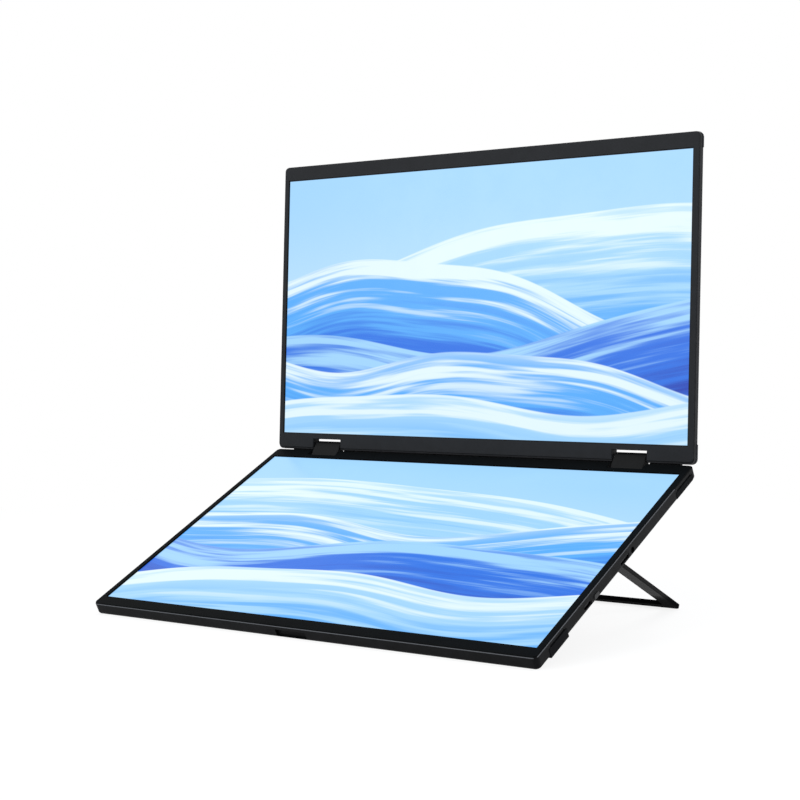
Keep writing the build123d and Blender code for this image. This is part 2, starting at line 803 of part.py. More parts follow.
# Main board: a strip along the sockets with an arm behind the stand's hinge
with BuildPart() as main_board:
    with BuildSketch(base_frame.offset(-board_face)):
        with Locations((board_left, -board_start)):
            Rectangle(board_right - board_left, board_side_reach, align=(Align.MIN, Align.MAX))
            Rectangle(board_arm_length, board_arm_width, align=(Align.MAX, Align.MAX))
        with Locations((board_right, -jack_place)):
            Rectangle(
                2 * (jack_length + board_jack_gap),
                jack_body_width + 2 * board_jack_gap,
                mode=Mode.SUBTRACT,
            )
    extrude(amount=-board_thickness)
main_board.part.label = "main_board"
export_step(main_board.part, "parts/main_board.step")

with BuildPart() as board_chips:
    with BuildSketch(base_frame.offset(-board_back)):
        with Locations((board_left - board_arm_length / 2, -board_start - board_arm_width / 2)):
            Rectangle(chip_size, chip_size)
            with Locations((chip_spacing, 0), (-chip_spacing, 0)):
                Rectangle(small_chip_width, small_chip_length)
    extrude(amount=-chip_height)
board_chips.part.label = "board_chips"
export_step(board_chips.part, "parts/board_chips.step")

# Speakers on the floor of the base, over their grilles
with BuildPart() as speakers:
    with BuildSketch(base_frame.offset(-base_inside)):
        with Locations((-speaker_centre, -speaker_place), (speaker_centre, -speaker_place)):
            RectangleRounded(speaker_width, speaker_height, speaker_corner_radius)
    extrude(amount=base_inside - board_back - speaker_gap)
speakers.part.label = "speakers"
export_step(speakers.part, "parts/speakers.step")


# Sockets: metal shells with a tongue inside, mouths just inside the wall
def socket(place, width, height, length, corner_share):
    """Slot socket with a thin shell, a back wall and a tongue."""
    mouth = side_plane(place).offset(-socket_setback)
    inner_width = width - 2 * shell_wall
    inner_height = height - 2 * shell_wall
    with BuildPart() as shell:
        with BuildSketch(mouth):
            RectangleRounded(width, height, corner_share * height)
        extrude(amount=-length)
        with BuildSketch(mouth):
            RectangleRounded(inner_width, inner_height, corner_share * inner_height)
        extrude(amount=socket_back_wall - length, mode=Mode.SUBTRACT)
        with BuildSketch(mouth.offset(-tongue_setback)):
            Rectangle(inner_width - 2 * tongue_side_gap, tongue_thickness)
        extrude(amount=tongue_setback - length)
    return shell.part


with BuildPart() as usb_c_socket:
    add(socket(usb_place, usb_width, usb_height, usb_length, usb_corner_share))
usb_c_socket.part.label = "usb_c_socket"
export_step(usb_c_socket.part, "parts/usb_c_socket.step")

with BuildPart() as mini_hdmi_socket:
    add(socket(hdmi_place, hdmi_width, hdmi_height, hdmi_length, hdmi_corner_share))
mini_hdmi_socket.part.label = "mini_hdmi_socket"
export_step(mini_hdmi_socket.part, "parts/mini_hdmi_socket.step")

with BuildPart() as headphone_socket:
    jack_mouth = side_plane(jack_place, jack_depth).offset(-socket_setback)
    with BuildSketch(jack_mouth):
        Circle(jack_rim_radius - jack_rim_gap)
    extrude(amount=-side_wall - socket_setback)
    with BuildSketch(jack_mouth.offset(-side_wall)):
        Rectangle(jack_body_width, base_inside - board_face)
    extrude(amount=-jack_length)
    with BuildSketch(jack_mouth):
        Circle(jack_bore_radius)
    extrude(amount=-jack_length, mode=Mode.SUBTRACT)
headphone_socket.part.label = "headphone_socket"
export_step(headphone_socket.part, "parts/headphone_socket.step")

# Push button and the switch behind it
button_inner = -side_wall - button_flange_gap
with BuildPart() as power_button:
    with BuildSketch(side_plane(button_place).offset(button_proud)):
        SlotOverall(button_width, button_height)
    extrude(amount=button_inner - button_proud)
    fillet(power_button.faces().sort_by(Axis.X)[-1].edges(), button_edge_radius)
    with BuildSketch(side_plane(button_place).offset(button_inner)):
        SlotOverall(button_width + 2 * button_flange, button_height)
    extrude(amount=-button_flange_thickness)
power_button.part.label = "power_button"
export_step(power_button.part, "parts/power_button.step")

plunger_tip = button_inner - button_flange_thickness - button_travel - plunger_gap
with BuildPart() as button_switch:
    with BuildSketch(side_plane(button_place).offset(plunger_tip - plunger_length)):
        with Locations((0, port_depth - board_back)):
            Rectangle(switch_width, switch_size, align=(Align.CENTER, Align.MAX))
    extrude(amount=-switch_size)
    with BuildSketch(side_plane(button_place).offset(plunger_tip)):
        Circle(plunger_radius)
    extrude(amount=-plunger_length)
button_switch.part.label = "button_switch"
export_step(button_switch.part, "parts/button_switch.step")

# Stand: U-shaped frame with hinge knuckles, rubber strip and hinge pins
frame_length = stand_length - strip_proud
with BuildPart() as stand_frame:
    with BuildSketch(stand_frame_plane.offset(-stand_thickness / 2)) as stand_section:
        Rectangle(2 * stand_half_width, frame_length, align=(Align.CENTER, Align.MIN))
        fillet(stand_section.vertices().sort_by(Axis.Y)[-2:], stand_corner_radius)
        Rectangle(
            2 * (stand_half_width - stand_leg_width),
            stand_length - stand_bar_width,
            align=(Align.CENTER, Align.MIN),
            mode=Mode.SUBTRACT,
        )
        inner_corners = stand_section.vertices().group_by(Axis.Y)[1]
        fillet(inner_corners, stand_inner_radius)
    extrude(amount=stand_thickness)
    for sheet in stand_frame.faces().filter_by(Axis(stand_pivot, stand_frame_plane.z_dir)):
        knuckle_end = Axis(stand_pivot, stand_frame_plane.y_dir)
        fillet(sheet.edges().sort_by(knuckle_end)[2:], stand_edge_radius)
    with BuildSketch(stand_frame_plane.offset(-stand_thickness)):
        with Locations((0, stand_length - strip_width)):
            Rectangle(2 * strip_half_length, strip_width, align=(Align.CENTER, Align.MIN))
    extrude(amount=2 * stand_thickness, mode=Mode.SUBTRACT)
    for side in (-1, 1):
        first = side * leg_middle - stand_leg_width / 2
        with BuildSketch(across(stand_frame_plane, first, 0, 0)):
            Circle(knuckle_radius)
        extrude(amount=stand_leg_width)
        with BuildSketch(across(stand_frame_plane, first, 0, 0)):
            Circle(pin_radius + running_clearance)
        extrude(amount=stand_leg_width, mode=Mode.SUBTRACT)
stand_frame.part.label = "stand_frame"
export_step(stand_frame.part, "parts/stand_frame.step")

with BuildPart() as stand_foot_strip:
    with BuildSketch(across(stand_frame_plane, -strip_half_length, 0, 0)):
        with Locations((stand_length - strip_radius, 0)):
            Circle(strip_radius)
        with Locations((stand_length - strip_width, 0)):
            Rectangle(strip_width - strip_radius, stand_thickness, align=(Align.MIN, Align.CENTER))
        with Locations((stand_length - strip_width, 0)):
            Rectangle(strip_width, 2 * stand_thickness, align=(Align.MAX, Align.CENTER), mode=Mode.SUBTRACT)
    extrude(amount=2 * strip_half_length)
stand_foot_strip.part.label = "stand_foot_strip"
export_step(stand_foot_strip.part, "parts/stand_foot_strip.step")

with BuildPart() as stand_hinge_pins:
    for side in (-1, 1):
        pin_start = side * leg_middle - slot_width / 2 - pin_boss_length
        with BuildSketch(across(base_frame, pin_start, pivot_y, pivot_z)):
            Circle(pin_radius)
        extrude(amount=slot_width + 2 * pin_boss_length)
stand_hinge_pins.part.label = "stand_hinge_pins"
export_step(stand_hinge_pins.part, "parts/stand_hinge_pins.step")

# Hinge blocks with their gear trains: shaft, idler, idler, shaft, all with equal teeth
half_tooth = 180 / gear_teeth
with BuildPart() as hinge_block_left:
    add(hinge_block(-1))
hinge_block_left.part.label = "hinge_block_left"
export_step(hinge_block_left.part, "parts/hinge_block_left.step")

with BuildPart() as hinge_block_right:
    add(hinge_block(1))
hinge_block_right.part.label = "hinge_block_right"
export_step(hinge_block_right.part, "parts/hinge_block_right.step")

with BuildPart() as hinge_end_plates:
    add(end_plates())
hinge_end_plates.part.label = "hinge_end_plates"
export_step(hinge_end_plates.part, "parts/hinge_end_plates.step")

with BuildPart() as lower_idler_gears:
    add(idler_gears(1, half_tooth))
lower_idler_gears.part.label = "lower_idler_gears"
export_step(lower_idler_gears.part, "parts/lower_idler_gears.step")

with BuildPart() as upper_idler_gears:
    add(idler_gears(2, 0))
upper_idler_gears.part.label = "upper_idler_gears"
export_step(upper_idler_gears.part, "parts/upper_idler_gears.step")

# Lid: the upper panel
driver_low = driver_board_margin - display_height - screen_far_border
driver_points = (
    (driver_board_width / 2 - standoff_inset, driver_low + driver_board_height / 2),
    (standoff_inset - driver_board_width / 2, driver_low + driver_board_height / 2),
)
with BuildPart() as lid_rear_cover:
    add(cover_shell(lid_frame, lid_top, lid_depth, lid_floor, lid_edge_radius, lid_shaft_z))
    add(hinge_lip())
    with BuildSketch(lid_frame.offset(-lid_inside)):
        with Locations(*driver_points):
            Circle(standoff_radius)
    extrude(amount=lid_inside - board_back)
lid_rear_cover.part.label = "lid_rear_cover"
export_step(lid_rear_cover.part, "parts/lid_rear_cover.step")

with BuildPart() as lid_front_bezel:
    add(bezel_frame(lid_frame, lid_top))
lid_front_bezel.part.label = "lid_front_bezel"
export_step(lid_front_bezel.part, "parts/lid_front_bezel.step")

with BuildPart() as lid_screen:
    add(screen_glass(lid_frame))
lid_screen.part.label = "lid_screen"
export_step(lid_screen.part, "parts/lid_screen.step")

with BuildPart() as lid_lcd_module:
    add(lcd_module(lid_frame))
lid_lcd_module.part.label = "lid_lcd_module"
export_step(lid_lcd_module.part, "parts/lid_lcd_module.step")

with BuildPart() as lid_cover_screws:
    add(cover_screws(lid_frame, lid_depth))
lid_cover_screws.part.label = "lid_cover_screws"
export_step(lid_cover_screws.part, "parts/lid_cover_screws.step")

with BuildPart() as lid_hinge_brackets:
    add(hinge_brackets(lid_frame, lid_shaft_z, -lid_inside))
lid_hinge_brackets.part.label = "lid_hinge_brackets"
export_step(lid_hinge_brackets.part, "parts/lid_hinge_brackets.step")

with BuildPart() as lid_friction_sleeves:
    add(friction_sleeves(lid_frame, lid_shaft_z))
lid_friction_sleeves.part.label = "lid_friction_sleeves"
export_step(lid_friction_sleeves.part, "parts/lid_friction_sleeves.step")

with BuildPart() as lid_hinge_shafts:
    add(hinge_shafts(hinge_spacing, half_tooth))
lid_hinge_shafts.part.label = "lid_hinge_shafts"
export_step(lid_hinge_shafts.part, "parts/lid_hinge_shafts.step")

with BuildPart() as lid_driver_board:
    with BuildSketch(lid_frame.offset(-board_face)):
        with Locations((0, driver_low)):
            Rectangle(driver_board_width, driver_board_height, align=(Align.CENTER, Align.MIN))
    extrude(amount=-board_thickness)
lid_driver_board.part.label = "lid_driver_board"
export_step(lid_driver_board.part, "parts/lid_driver_board.step")

# Rubber pads that wrap the four rear corners of the lid
with BuildPart() as lid_corner_pads:
    with BuildSketch(lid_frame.offset(-lid_depth - pad_proud)):
        for side in (-1, 1):
            with Locations((side * (half_width + foot_lip), -lid_top - foot_lip)):
                Rectangle(2 * pad_reach, 2 * pad_top_length)
            with Locations((side * (half_width + foot_lip), hinge_bezel + foot_lip)):
                Rectangle(2 * pad_reach, 2 * pad_hinge_length)
        with Locations((0, (hinge_bezel - lid_top) / 2)):
            RectangleRounded(
                panel_width + 2 * foot_lip,
                hinge_bezel + lid_top + 2 * foot_lip,
                corner_radius + foot_lip,
                mode=Mode.INTERSECT,
            )
    extrude(amount=lid_depth + pad_proud - foot_lip_drop)
    soles = lid_corner_pads.faces().sort_by(panel_axis(lid_frame))[0:4]
    fillet([edge for sole in soles for edge in sole.edges()], lid_edge_radius + foot_lip)
    add(envelope(lid_frame, lid_top, lid_depth, lid_edge_radius), mode=Mode.SUBTRACT)
lid_corner_pads.part.label = "lid_corner_pads"
export_step(lid_corner_pads.part, "parts/lid_corner_pads.step")
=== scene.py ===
# %% [markdown]
# A folding portable monitor, dressed in Blender.
# The solids of the monitor arrive as a fixed frame, in metres, and stay where they are.
# This lesson gives them a camera, a studio, finishes made of shader nodes and a few small pieces.

# %% Load the solids
import json
import math

import bmesh
import bpy
import numpy as np
from mathutils import Matrix


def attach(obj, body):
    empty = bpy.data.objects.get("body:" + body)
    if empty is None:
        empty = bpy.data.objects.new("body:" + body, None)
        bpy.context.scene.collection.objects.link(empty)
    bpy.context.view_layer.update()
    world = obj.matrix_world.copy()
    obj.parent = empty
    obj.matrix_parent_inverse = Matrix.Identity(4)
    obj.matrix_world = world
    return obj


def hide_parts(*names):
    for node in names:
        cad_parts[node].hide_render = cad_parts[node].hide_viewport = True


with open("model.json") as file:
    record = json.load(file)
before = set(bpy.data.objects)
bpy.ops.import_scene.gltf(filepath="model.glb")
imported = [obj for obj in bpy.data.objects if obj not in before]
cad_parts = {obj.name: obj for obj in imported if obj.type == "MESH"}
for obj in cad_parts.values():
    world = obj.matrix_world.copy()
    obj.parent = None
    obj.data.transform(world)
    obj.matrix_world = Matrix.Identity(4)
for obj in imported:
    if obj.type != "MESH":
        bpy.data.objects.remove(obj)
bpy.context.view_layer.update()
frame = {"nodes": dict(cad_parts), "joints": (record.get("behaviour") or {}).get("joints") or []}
nodes = frame["nodes"]
joints = {joint["name"]: joint for joint in frame["joints"]}
scene = bpy.context.scene
scene.view_settings.view_transform = "Standard"

# %% [markdown]
# Both panels are flat slabs that lean at different angles.
# Their patterns are easiest to draw in a flat frame of their own.
# Each panel's frame starts at the hinge-side edge of its lit area, with Y towards the hinge.
# Z points out of the base's screen, and on the lid it points to the back.
# The hinge axes are known from the joints, and the frames follow from them and a few sizes.

# %% Frames of the two panels
base_tilt = math.radians(25.3)
lid_angle = math.radians(119.0)
shaft_from_display = 0.00895
base_shaft_depth = 0.0034
lid_shaft_depth = 0.0038
quarter_turn = math.pi / 2


def slope(angle):
    """Unit vector in the Y-Z plane: cosine along Y and sine along Z."""
    return np.array([0.0, math.cos(angle), math.sin(angle)])


lid_rise = math.pi + base_tilt - lid_angle
lid_slope = lid_rise + math.pi
base_shaft = np.array(joints["block_turn"]["pos_m"])
lid_shaft = np.array(joints["lid_turn"]["pos_m"])
base_origin = base_shaft - slope(base_tilt) * shaft_from_display
base_origin = base_origin + slope(base_tilt + quarter_turn) * base_shaft_depth
lid_origin = lid_shaft + slope(lid_rise) * shaft_from_display
lid_origin = lid_origin + slope(lid_rise + quarter_turn) * lid_shaft_depth
print("base frame", base_origin.round(4), "lid frame", lid_origin.round(4))

# %% [markdown]
# The camera stands where the photographer stood, low and to the right.
# Its place and its axes were worked out from the corners of the two lit areas, which are plain rectangles.
# The photograph was cropped a little off the lens axis, which is what the small shift stands for.

# %% Camera at the photograph's viewing angle
camera_place = (0.65894, -0.87469, 0.19266)
camera_right = np.array([0.811328, 0.584378, -0.015818])
camera_down = np.array([0.010366, -0.041436, -0.999087])
camera_forward = np.cross(camera_right, camera_down)
camera_data = bpy.data.cameras.new("photo_camera")
camera_data.sensor_width = 36.0
camera_data.lens = 73.928
camera_data.shift_x = -0.03674
camera_data.shift_y = -0.0125
camera_data.clip_start = 0.01
camera_data.clip_end = 100.0
camera = bpy.data.objects.new("photo_camera", camera_data)
scene.collection.objects.link(camera)
camera_axes = np.stack([camera_right, -camera_down, -camera_forward], axis=1)
camera.matrix_world = Matrix.Translation(camera_place) @ Matrix(camera_axes.tolist()).to_4x4()
scene.camera = camera
print("camera at", camera_place, "lens", camera_data.lens)

# %% [markdown]
# Shader trees are built from many small nodes, and most of them differ only in their kind and a few inputs.
# One helper adds a node, sets its options, and either sets or links each input.
# Others write a sum or a smooth step in one line, or turn a screen colour into a linear one.

# %% Helpers for shader nodes
FLOAT = "NodeSocketFloat"
VECTOR = "NodeSocketVector"
COLOUR = "NodeSocketColor"


def screen_colour(red, green, blue):
    """Linear colour of a screen colour given from 0 to 255."""
    share = np.array([red, green, blue]) / 255.0
    linear = np.where(share <= 0.04045, share / 12.92, ((share + 0.055) / 1.055) ** 2.4)
    return (*linear.tolist(), 1.0)


def put(tree, kind, inputs=None, **options):
    """Add a node, set its options, and set or link its inputs by name or number."""
    node = tree.nodes.new(kind)
    for option, value in options.items():
        setattr(node, option, value)
    for key, value in (inputs or {}).items():
        if isinstance(value, bpy.types.NodeSocket):
            tree.links.new(value, node.inputs[key])
        else:
            node.inputs[key].default_value = value
    return node


def calc(tree, operation, *values, clamp=False):
    """One sum of the Math node, with numbers or sockets as its values."""
    inputs = dict(enumerate(values))
    return put(tree, "ShaderNodeMath", inputs, operation=operation, use_clamp=clamp).outputs[0]


def split_axes(tree, place):
    """X, Y and Z of a place, as three sockets."""
    return put(tree, "ShaderNodeSeparateXYZ", {0: place}).outputs


def blend_colours(tree, share, first, second):
    """Mix two colours: the first where the share is 0 and the second where it is 1."""
    inputs = {"Factor": share, 6: first, 7: second}
    return put(tree, "ShaderNodeMix", inputs, data_type="RGBA", clamp_factor=True).outputs[2]


def ramp(tree, value, low, high, start=0.0, end=1.0):
    """Smooth step of a value from start to end while it goes from low to high."""
    inputs = {"Value": value, "From Min": low, "From Max": high, "To Min": start, "To Max": end}
    return put(tree, "ShaderNodeMapRange", inputs, interpolation_type="SMOOTHSTEP").outputs[0]


def new_group(name, inputs, outputs):
    """Empty shader group with named sockets, as its tree, its input node and its output node."""
    tree = bpy.data.node_groups.new(name, "ShaderNodeTree")
    for label, kind, value in inputs:
        socket = tree.interface.new_socket(label, in_out="INPUT", socket_type=kind)
        if value is not None:
            socket.default_value = value
    for label, kind in outputs:
        tree.interface.new_socket(label, in_out="OUTPUT", socket_type=kind)
    return tree, tree.nodes.new("NodeGroupInput"), tree.nodes.new("NodeGroupOutput")


def use_group(tree, group, inputs):
    """Place a shader group in a tree and set or link its inputs."""
    return put(tree, "ShaderNodeGroup", inputs, node_tree=group)


def object_place(tree):
    """Object coordinates, which are metres in the monitor's own frame."""
    return tree.nodes.new("ShaderNodeTexCoord").outputs["Object"]


def panel_place(tree, origin, angle):
    """Object coordinates turned and moved into a panel's flat frame."""
    cosine = math.cos(angle)
    sine = math.sin(angle)
    turn = np.array([[1, 0, 0], [0, cosine, sine], [0, -sine, cosine]])
    move = (-turn @ origin).tolist()
    inputs = {"Vector": object_place(tree), "Location": move, "Rotation": (-angle, 0, 0)}
    return put(tree, "ShaderNodeMapping", inputs, vector_type="POINT").outputs[0]


print("screen grey 128 is", round(screen_colour(128, 128, 128)[0], 3), "in linear light")

# %% [markdown]
# A product photograph of this kind has no visible room.
# The monitor stands on white and meets it in a faint shadow.
# The floor is a real plane, so it takes that shadow.
# It adds the rest of its white only to what the camera sees.
# The sky does the same, and lights the monitor with a much softer grey.

# %% Studio: floor, sky and soft lamps
floor_half = 14.0
shadow_grey = (0.22, 0.22, 0.22, 1)
bounce_grey = (0.7, 0.7, 0.7, 1)
white = (1, 1, 1, 1)
near_glow = 0.84
shadow_reach = 0.3
shadow_end = 0.8
sky_tint = (0.93, 0.96, 1.0, 1)
sky_strength = 0.5
floor_mesh = bpy.data.meshes.new("studio_floor")
floor_corners = np.array([[-1, -1, 0], [1, -1, 0], [1, 1, 0], [-1, 1, 0]]) * floor_half
floor_mesh.from_pydata(floor_corners.tolist(), [], [[0, 1, 2, 3]])
studio_floor = bpy.data.objects.new("studio_floor", floor_mesh)
scene.collection.objects.link(studio_floor)


def seen_directly(tree):
    """1 for rays from the camera, from a mirror or through glass, and 0 for light on a surface."""
    path = tree.nodes.new("ShaderNodeLightPath")
    shiny = calc(tree, "MAXIMUM", path.outputs["Is Glossy Ray"], path.outputs["Is Transmission Ray"])
    return calc(tree, "MAXIMUM", path.outputs["Is Camera Ray"], shiny)


def mix_shaders(tree, share, first, second):
    """Mix two shader nodes: the first where the share is 0 and the second where it is 1."""
    return put(tree, "ShaderNodeMixShader", {0: share, 1: first.outputs[0], 2: second.outputs[0]})


floor_white = bpy.data.materials.new("floor_white")
floor_white.use_nodes = True
tree = floor_white.node_tree
tree.nodes.clear()
shadow_part = put(tree, "ShaderNodeBsdfDiffuse", {"Color": shadow_grey})
white_part = put(tree, "ShaderNodeEmission", {"Color": white, "Strength": near_glow})
near_floor = put(tree, "ShaderNodeAddShader", {0: shadow_part.outputs[0], 1: white_part.outputs[0]})
far_floor = put(tree, "ShaderNodeEmission", {"Color": white, "Strength": 1.0})
from_middle = put(tree, "ShaderNodeVectorMath", {0: object_place(tree)}, operation="LENGTH").outputs["Value"]
seen_floor = mix_shaders(tree, ramp(tree, from_middle, shadow_reach, shadow_end), near_floor, far_floor)
lighting_floor = put(tree, "ShaderNodeBsdfDiffuse", {"Color": bounce_grey})
mix_floor = mix_shaders(tree, seen_directly(tree), lighting_floor, seen_floor)
put(tree, "ShaderNodeOutputMaterial", {"Surface": mix_floor.outputs[0]})
floor_mesh.materials.append(floor_white)

sky = bpy.data.worlds.new("studio_sky")
scene.world = sky
sky.use_nodes = True
tree = sky.node_tree
tree.nodes.clear()
soft_sky = put(tree, "ShaderNodeBackground", {"Color": sky_tint, "Strength": sky_strength})
white_sky = put(tree, "ShaderNodeBackground", {"Color": white, "Strength": 1.0})
mix_sky = mix_shaders(tree, seen_directly(tree), soft_sky, white_sky)
put(tree, "ShaderNodeOutputWorld", {"Surface": mix_sky.outputs[0]})


def soft_lamp(name, place, target, width, power):
    """Square area lamp at a place, turned to face a target."""
    lamp_data = bpy.data.lights.new(name, "AREA")
    lamp_data.size = width
    lamp_data.energy = power
    lamp = bpy.data.objects.new(name, lamp_data)
    scene.collection.objects.link(lamp)
    away = np.array(place) - np.array(target)
    away = away / np.linalg.norm(away)
    side = np.cross([0.0, 0.0, 1.0], away)
    side = side / np.linalg.norm(side)
    axes = np.stack([side, np.cross(away, side), away], axis=1)
    lamp.matrix_world = Matrix.Translation(place) @ Matrix(axes.tolist()).to_4x4()


monitor_middle = (0.0, 0.0, 0.15)
soft_lamp("front_lamp", (-0.9, -1.9, 1.1), monitor_middle, width=1.4, power=25.0)
soft_lamp("right_lamp", (1.9, -0.3, 0.9), monitor_middle, width=1.0, power=18.0)
soft_lamp("back_lamp", (-0.6, 1.6, 1.5), monitor_middle, width=1.2, power=14.0)
print("studio: floor", floor_half * 2, "m wide, lamps", len(bpy.data.lights))

# %% [markdown]
# Moulded plastic, rubber and anodised metal are never quite even.
# A fine grain breaks up the gloss and a broad mottle shifts the tone.
# Every finish needs both, so one group puts them out, and each material sets its own sizes.

# %% Shared effect: grain and mottle
grain_group, grain_in, grain_out = new_group(
    "grain_and_mottle",
    [("Vector", VECTOR, None), ("Grain Size", FLOAT, 0.0004), ("Mottle Size", FLOAT, 0.05)],
    [("Height", FLOAT), ("Mottle", FLOAT)],
)
grain_scale = calc(grain_group, "DIVIDE", 1.0, grain_in.outputs["Grain Size"])
grain_noise = put(grain_group, "ShaderNodeTexNoise", {
    "Vector": grain_in.outputs["Vector"], "Scale": grain_scale, "Detail": 2.0, "Roughness": 0.6,
})
mottle_scale = calc(grain_group, "DIVIDE", 1.0, grain_in.outputs["Mottle Size"])
mottle_noise = put(grain_group, "ShaderNodeTexNoise", {
    "Vector": grain_in.outputs["Vector"], "Scale": mottle_scale, "Detail": 4.0, "Roughness": 0.65,
})
mottle_tone = ramp(grain_group, mottle_noise.outputs[0], 0.3, 0.7)
grain_group.links.new(grain_noise.outputs[0], grain_out.inputs["Height"])
grain_group.links.new(mottle_tone, grain_out.inputs["Mottle"])
print("group", grain_group.name, "nodes", len(grain_group.nodes))

# %% [markdown]
# A slab that is carried about rubs bright at its outer edges first, most of all at the corners.
# In the panel's flat frame those edges are simple limits, so the wear is a mask that rises close to them.
# Noise breaks the mask up, because real wear is patchy.
# Two more masks come from the same limits, and both only place painted light. One is the thin rim of the
# cover beside the bezel, which ends at a corner foot: it takes a painted highlight on the base and painted
# shade on the lid. The other is the lip of the bezel round the lit area, where painted shade stands for the
# shaded inner wall of the sunken screen.

# %% Shared effect: rubbed edges, and the masks for painted light on the rim and on the lip round the lit area
display_width = 0.3442
display_height = 0.1936
panel_half_width = 0.177
hinge_edge = 0.0121
base_far_edge = 0.203
rim_width = 0.0005
rim_inner = 0.0004
rim_low = -0.00045
rim_low_end = -0.00035
rim_high = 0.0001
rim_high_end = 0.0002
rim_fade = 0.0006
window_lip = 0.0006
window_lip_end = 0.0008
wear_and_light_group, wear_in, wear_out = new_group(
    "rubbed_edges_and_light_masks",
    [
        ("Vector", VECTOR, None), ("Half Width", FLOAT, panel_half_width), ("Hinge Edge", FLOAT, hinge_edge),
        ("Far Edge", FLOAT, base_far_edge), ("Reach", FLOAT, 0.0012), ("Rim Start", FLOAT, hinge_edge),
    ],
    [("Mask", FLOAT), ("Rim", FLOAT), ("Window", FLOAT)],
)
wear_x, wear_y, wear_z = split_axes(wear_and_light_group, wear_in.outputs["Vector"])
off_middle = calc(wear_and_light_group, "ABSOLUTE", wear_x)
side_near = calc(wear_and_light_group, "SUBTRACT", wear_in.outputs["Half Width"], off_middle)
hinge_near = calc(wear_and_light_group, "SUBTRACT", wear_in.outputs["Hinge Edge"], wear_y)
far_near = calc(wear_and_light_group, "ADD", wear_in.outputs["Far Edge"], wear_y)
nearest = calc(wear_and_light_group, "MINIMUM", side_near, calc(wear_and_light_group, "MINIMUM", hinge_near, far_near))
closeness = ramp(wear_and_light_group, nearest, wear_in.outputs["Reach"], 0.0)
rub_noise = put(wear_and_light_group, "ShaderNodeTexNoise", {
    "Vector": wear_in.outputs["Vector"], "Scale": 160.0, "Detail": 5.0, "Roughness": 0.7,
})
rub_patch = ramp(wear_and_light_group, rub_noise.outputs[0], 0.42, 0.66, 0.25, 1.0)
wear_and_light_group.links.new(calc(wear_and_light_group, "MULTIPLY", closeness, rub_patch), wear_out.inputs["Mask"])

# Painted light: the rim band marks where a finish paints a highlight on the base's rim and shade on the
# lid's.
edge_near = calc(wear_and_light_group, "MINIMUM", side_near, far_near)
at_rim = ramp(wear_and_light_group, edge_near, rim_width, rim_inner)
at_top = ramp(wear_and_light_group, wear_z, rim_low, rim_low_end)
under_bezel = ramp(wear_and_light_group, wear_z, rim_high_end, rim_high)
rim_band = calc(wear_and_light_group, "MULTIPLY", calc(wear_and_light_group, "MULTIPLY", at_rim, at_top), under_bezel)
past_foot = calc(wear_and_light_group, "SUBTRACT", wear_in.outputs["Rim Start"], wear_y)
rim_band = calc(wear_and_light_group, "MULTIPLY", rim_band, ramp(wear_and_light_group, past_foot, 0.0, rim_fade))
wear_and_light_group.links.new(rim_band, wear_out.inputs["Rim"])

# Painted shade: the lip band round the lit area marks where the bezels paint the shade of the sunken screen's
# inner wall.
beside_display = calc(wear_and_light_group, "SUBTRACT", off_middle, display_width / 2)
to_far_end = calc(wear_and_light_group, "MULTIPLY", wear_y, -1.0)
past_far_end = calc(wear_and_light_group, "SUBTRACT", to_far_end, display_height)
past_display = calc(wear_and_light_group, "MAXIMUM", past_far_end, wear_y)
from_display = calc(wear_and_light_group, "MAXIMUM", beside_display, past_display)
lip_shade = ramp(wear_and_light_group, from_display, window_lip_end, window_lip)
wear_and_light_group.links.new(lip_shade, wear_out.inputs["Window"])
print("group", wear_and_light_group.name, "nodes", len(wear_and_light_group.nodes))

# %% [markdown]
# The finishes share one recipe: a dark base colour, a lighter tone where the mottle or the wear shows,
# a roughness that follows them, and a fine bump from the grain.
# Numbers that are the same all over a surface are set on the shader itself.
# The panels' finishes also paint the rim, a highlight on the base and shade on the lid, and painted shade on
# the lip round the lit area, and the stand gets painted shade towards the table.

# %% Recipe for the satin and matte finishes
# Near-black used only as painted shade: the lid's rim, the lip round each lit area and the stand's low part.
painted_shade_black = screen_colour(3, 3, 4)
mottle_size = 0.012
mottle_lift = 0.15
wear_lift = 0.25


def new_finish(name):
    """Empty material, as itself and its tree."""
    material = bpy.data.materials.new(name)
    material.use_nodes = True
    material.node_tree.nodes.clear()
    return material, material.node_tree


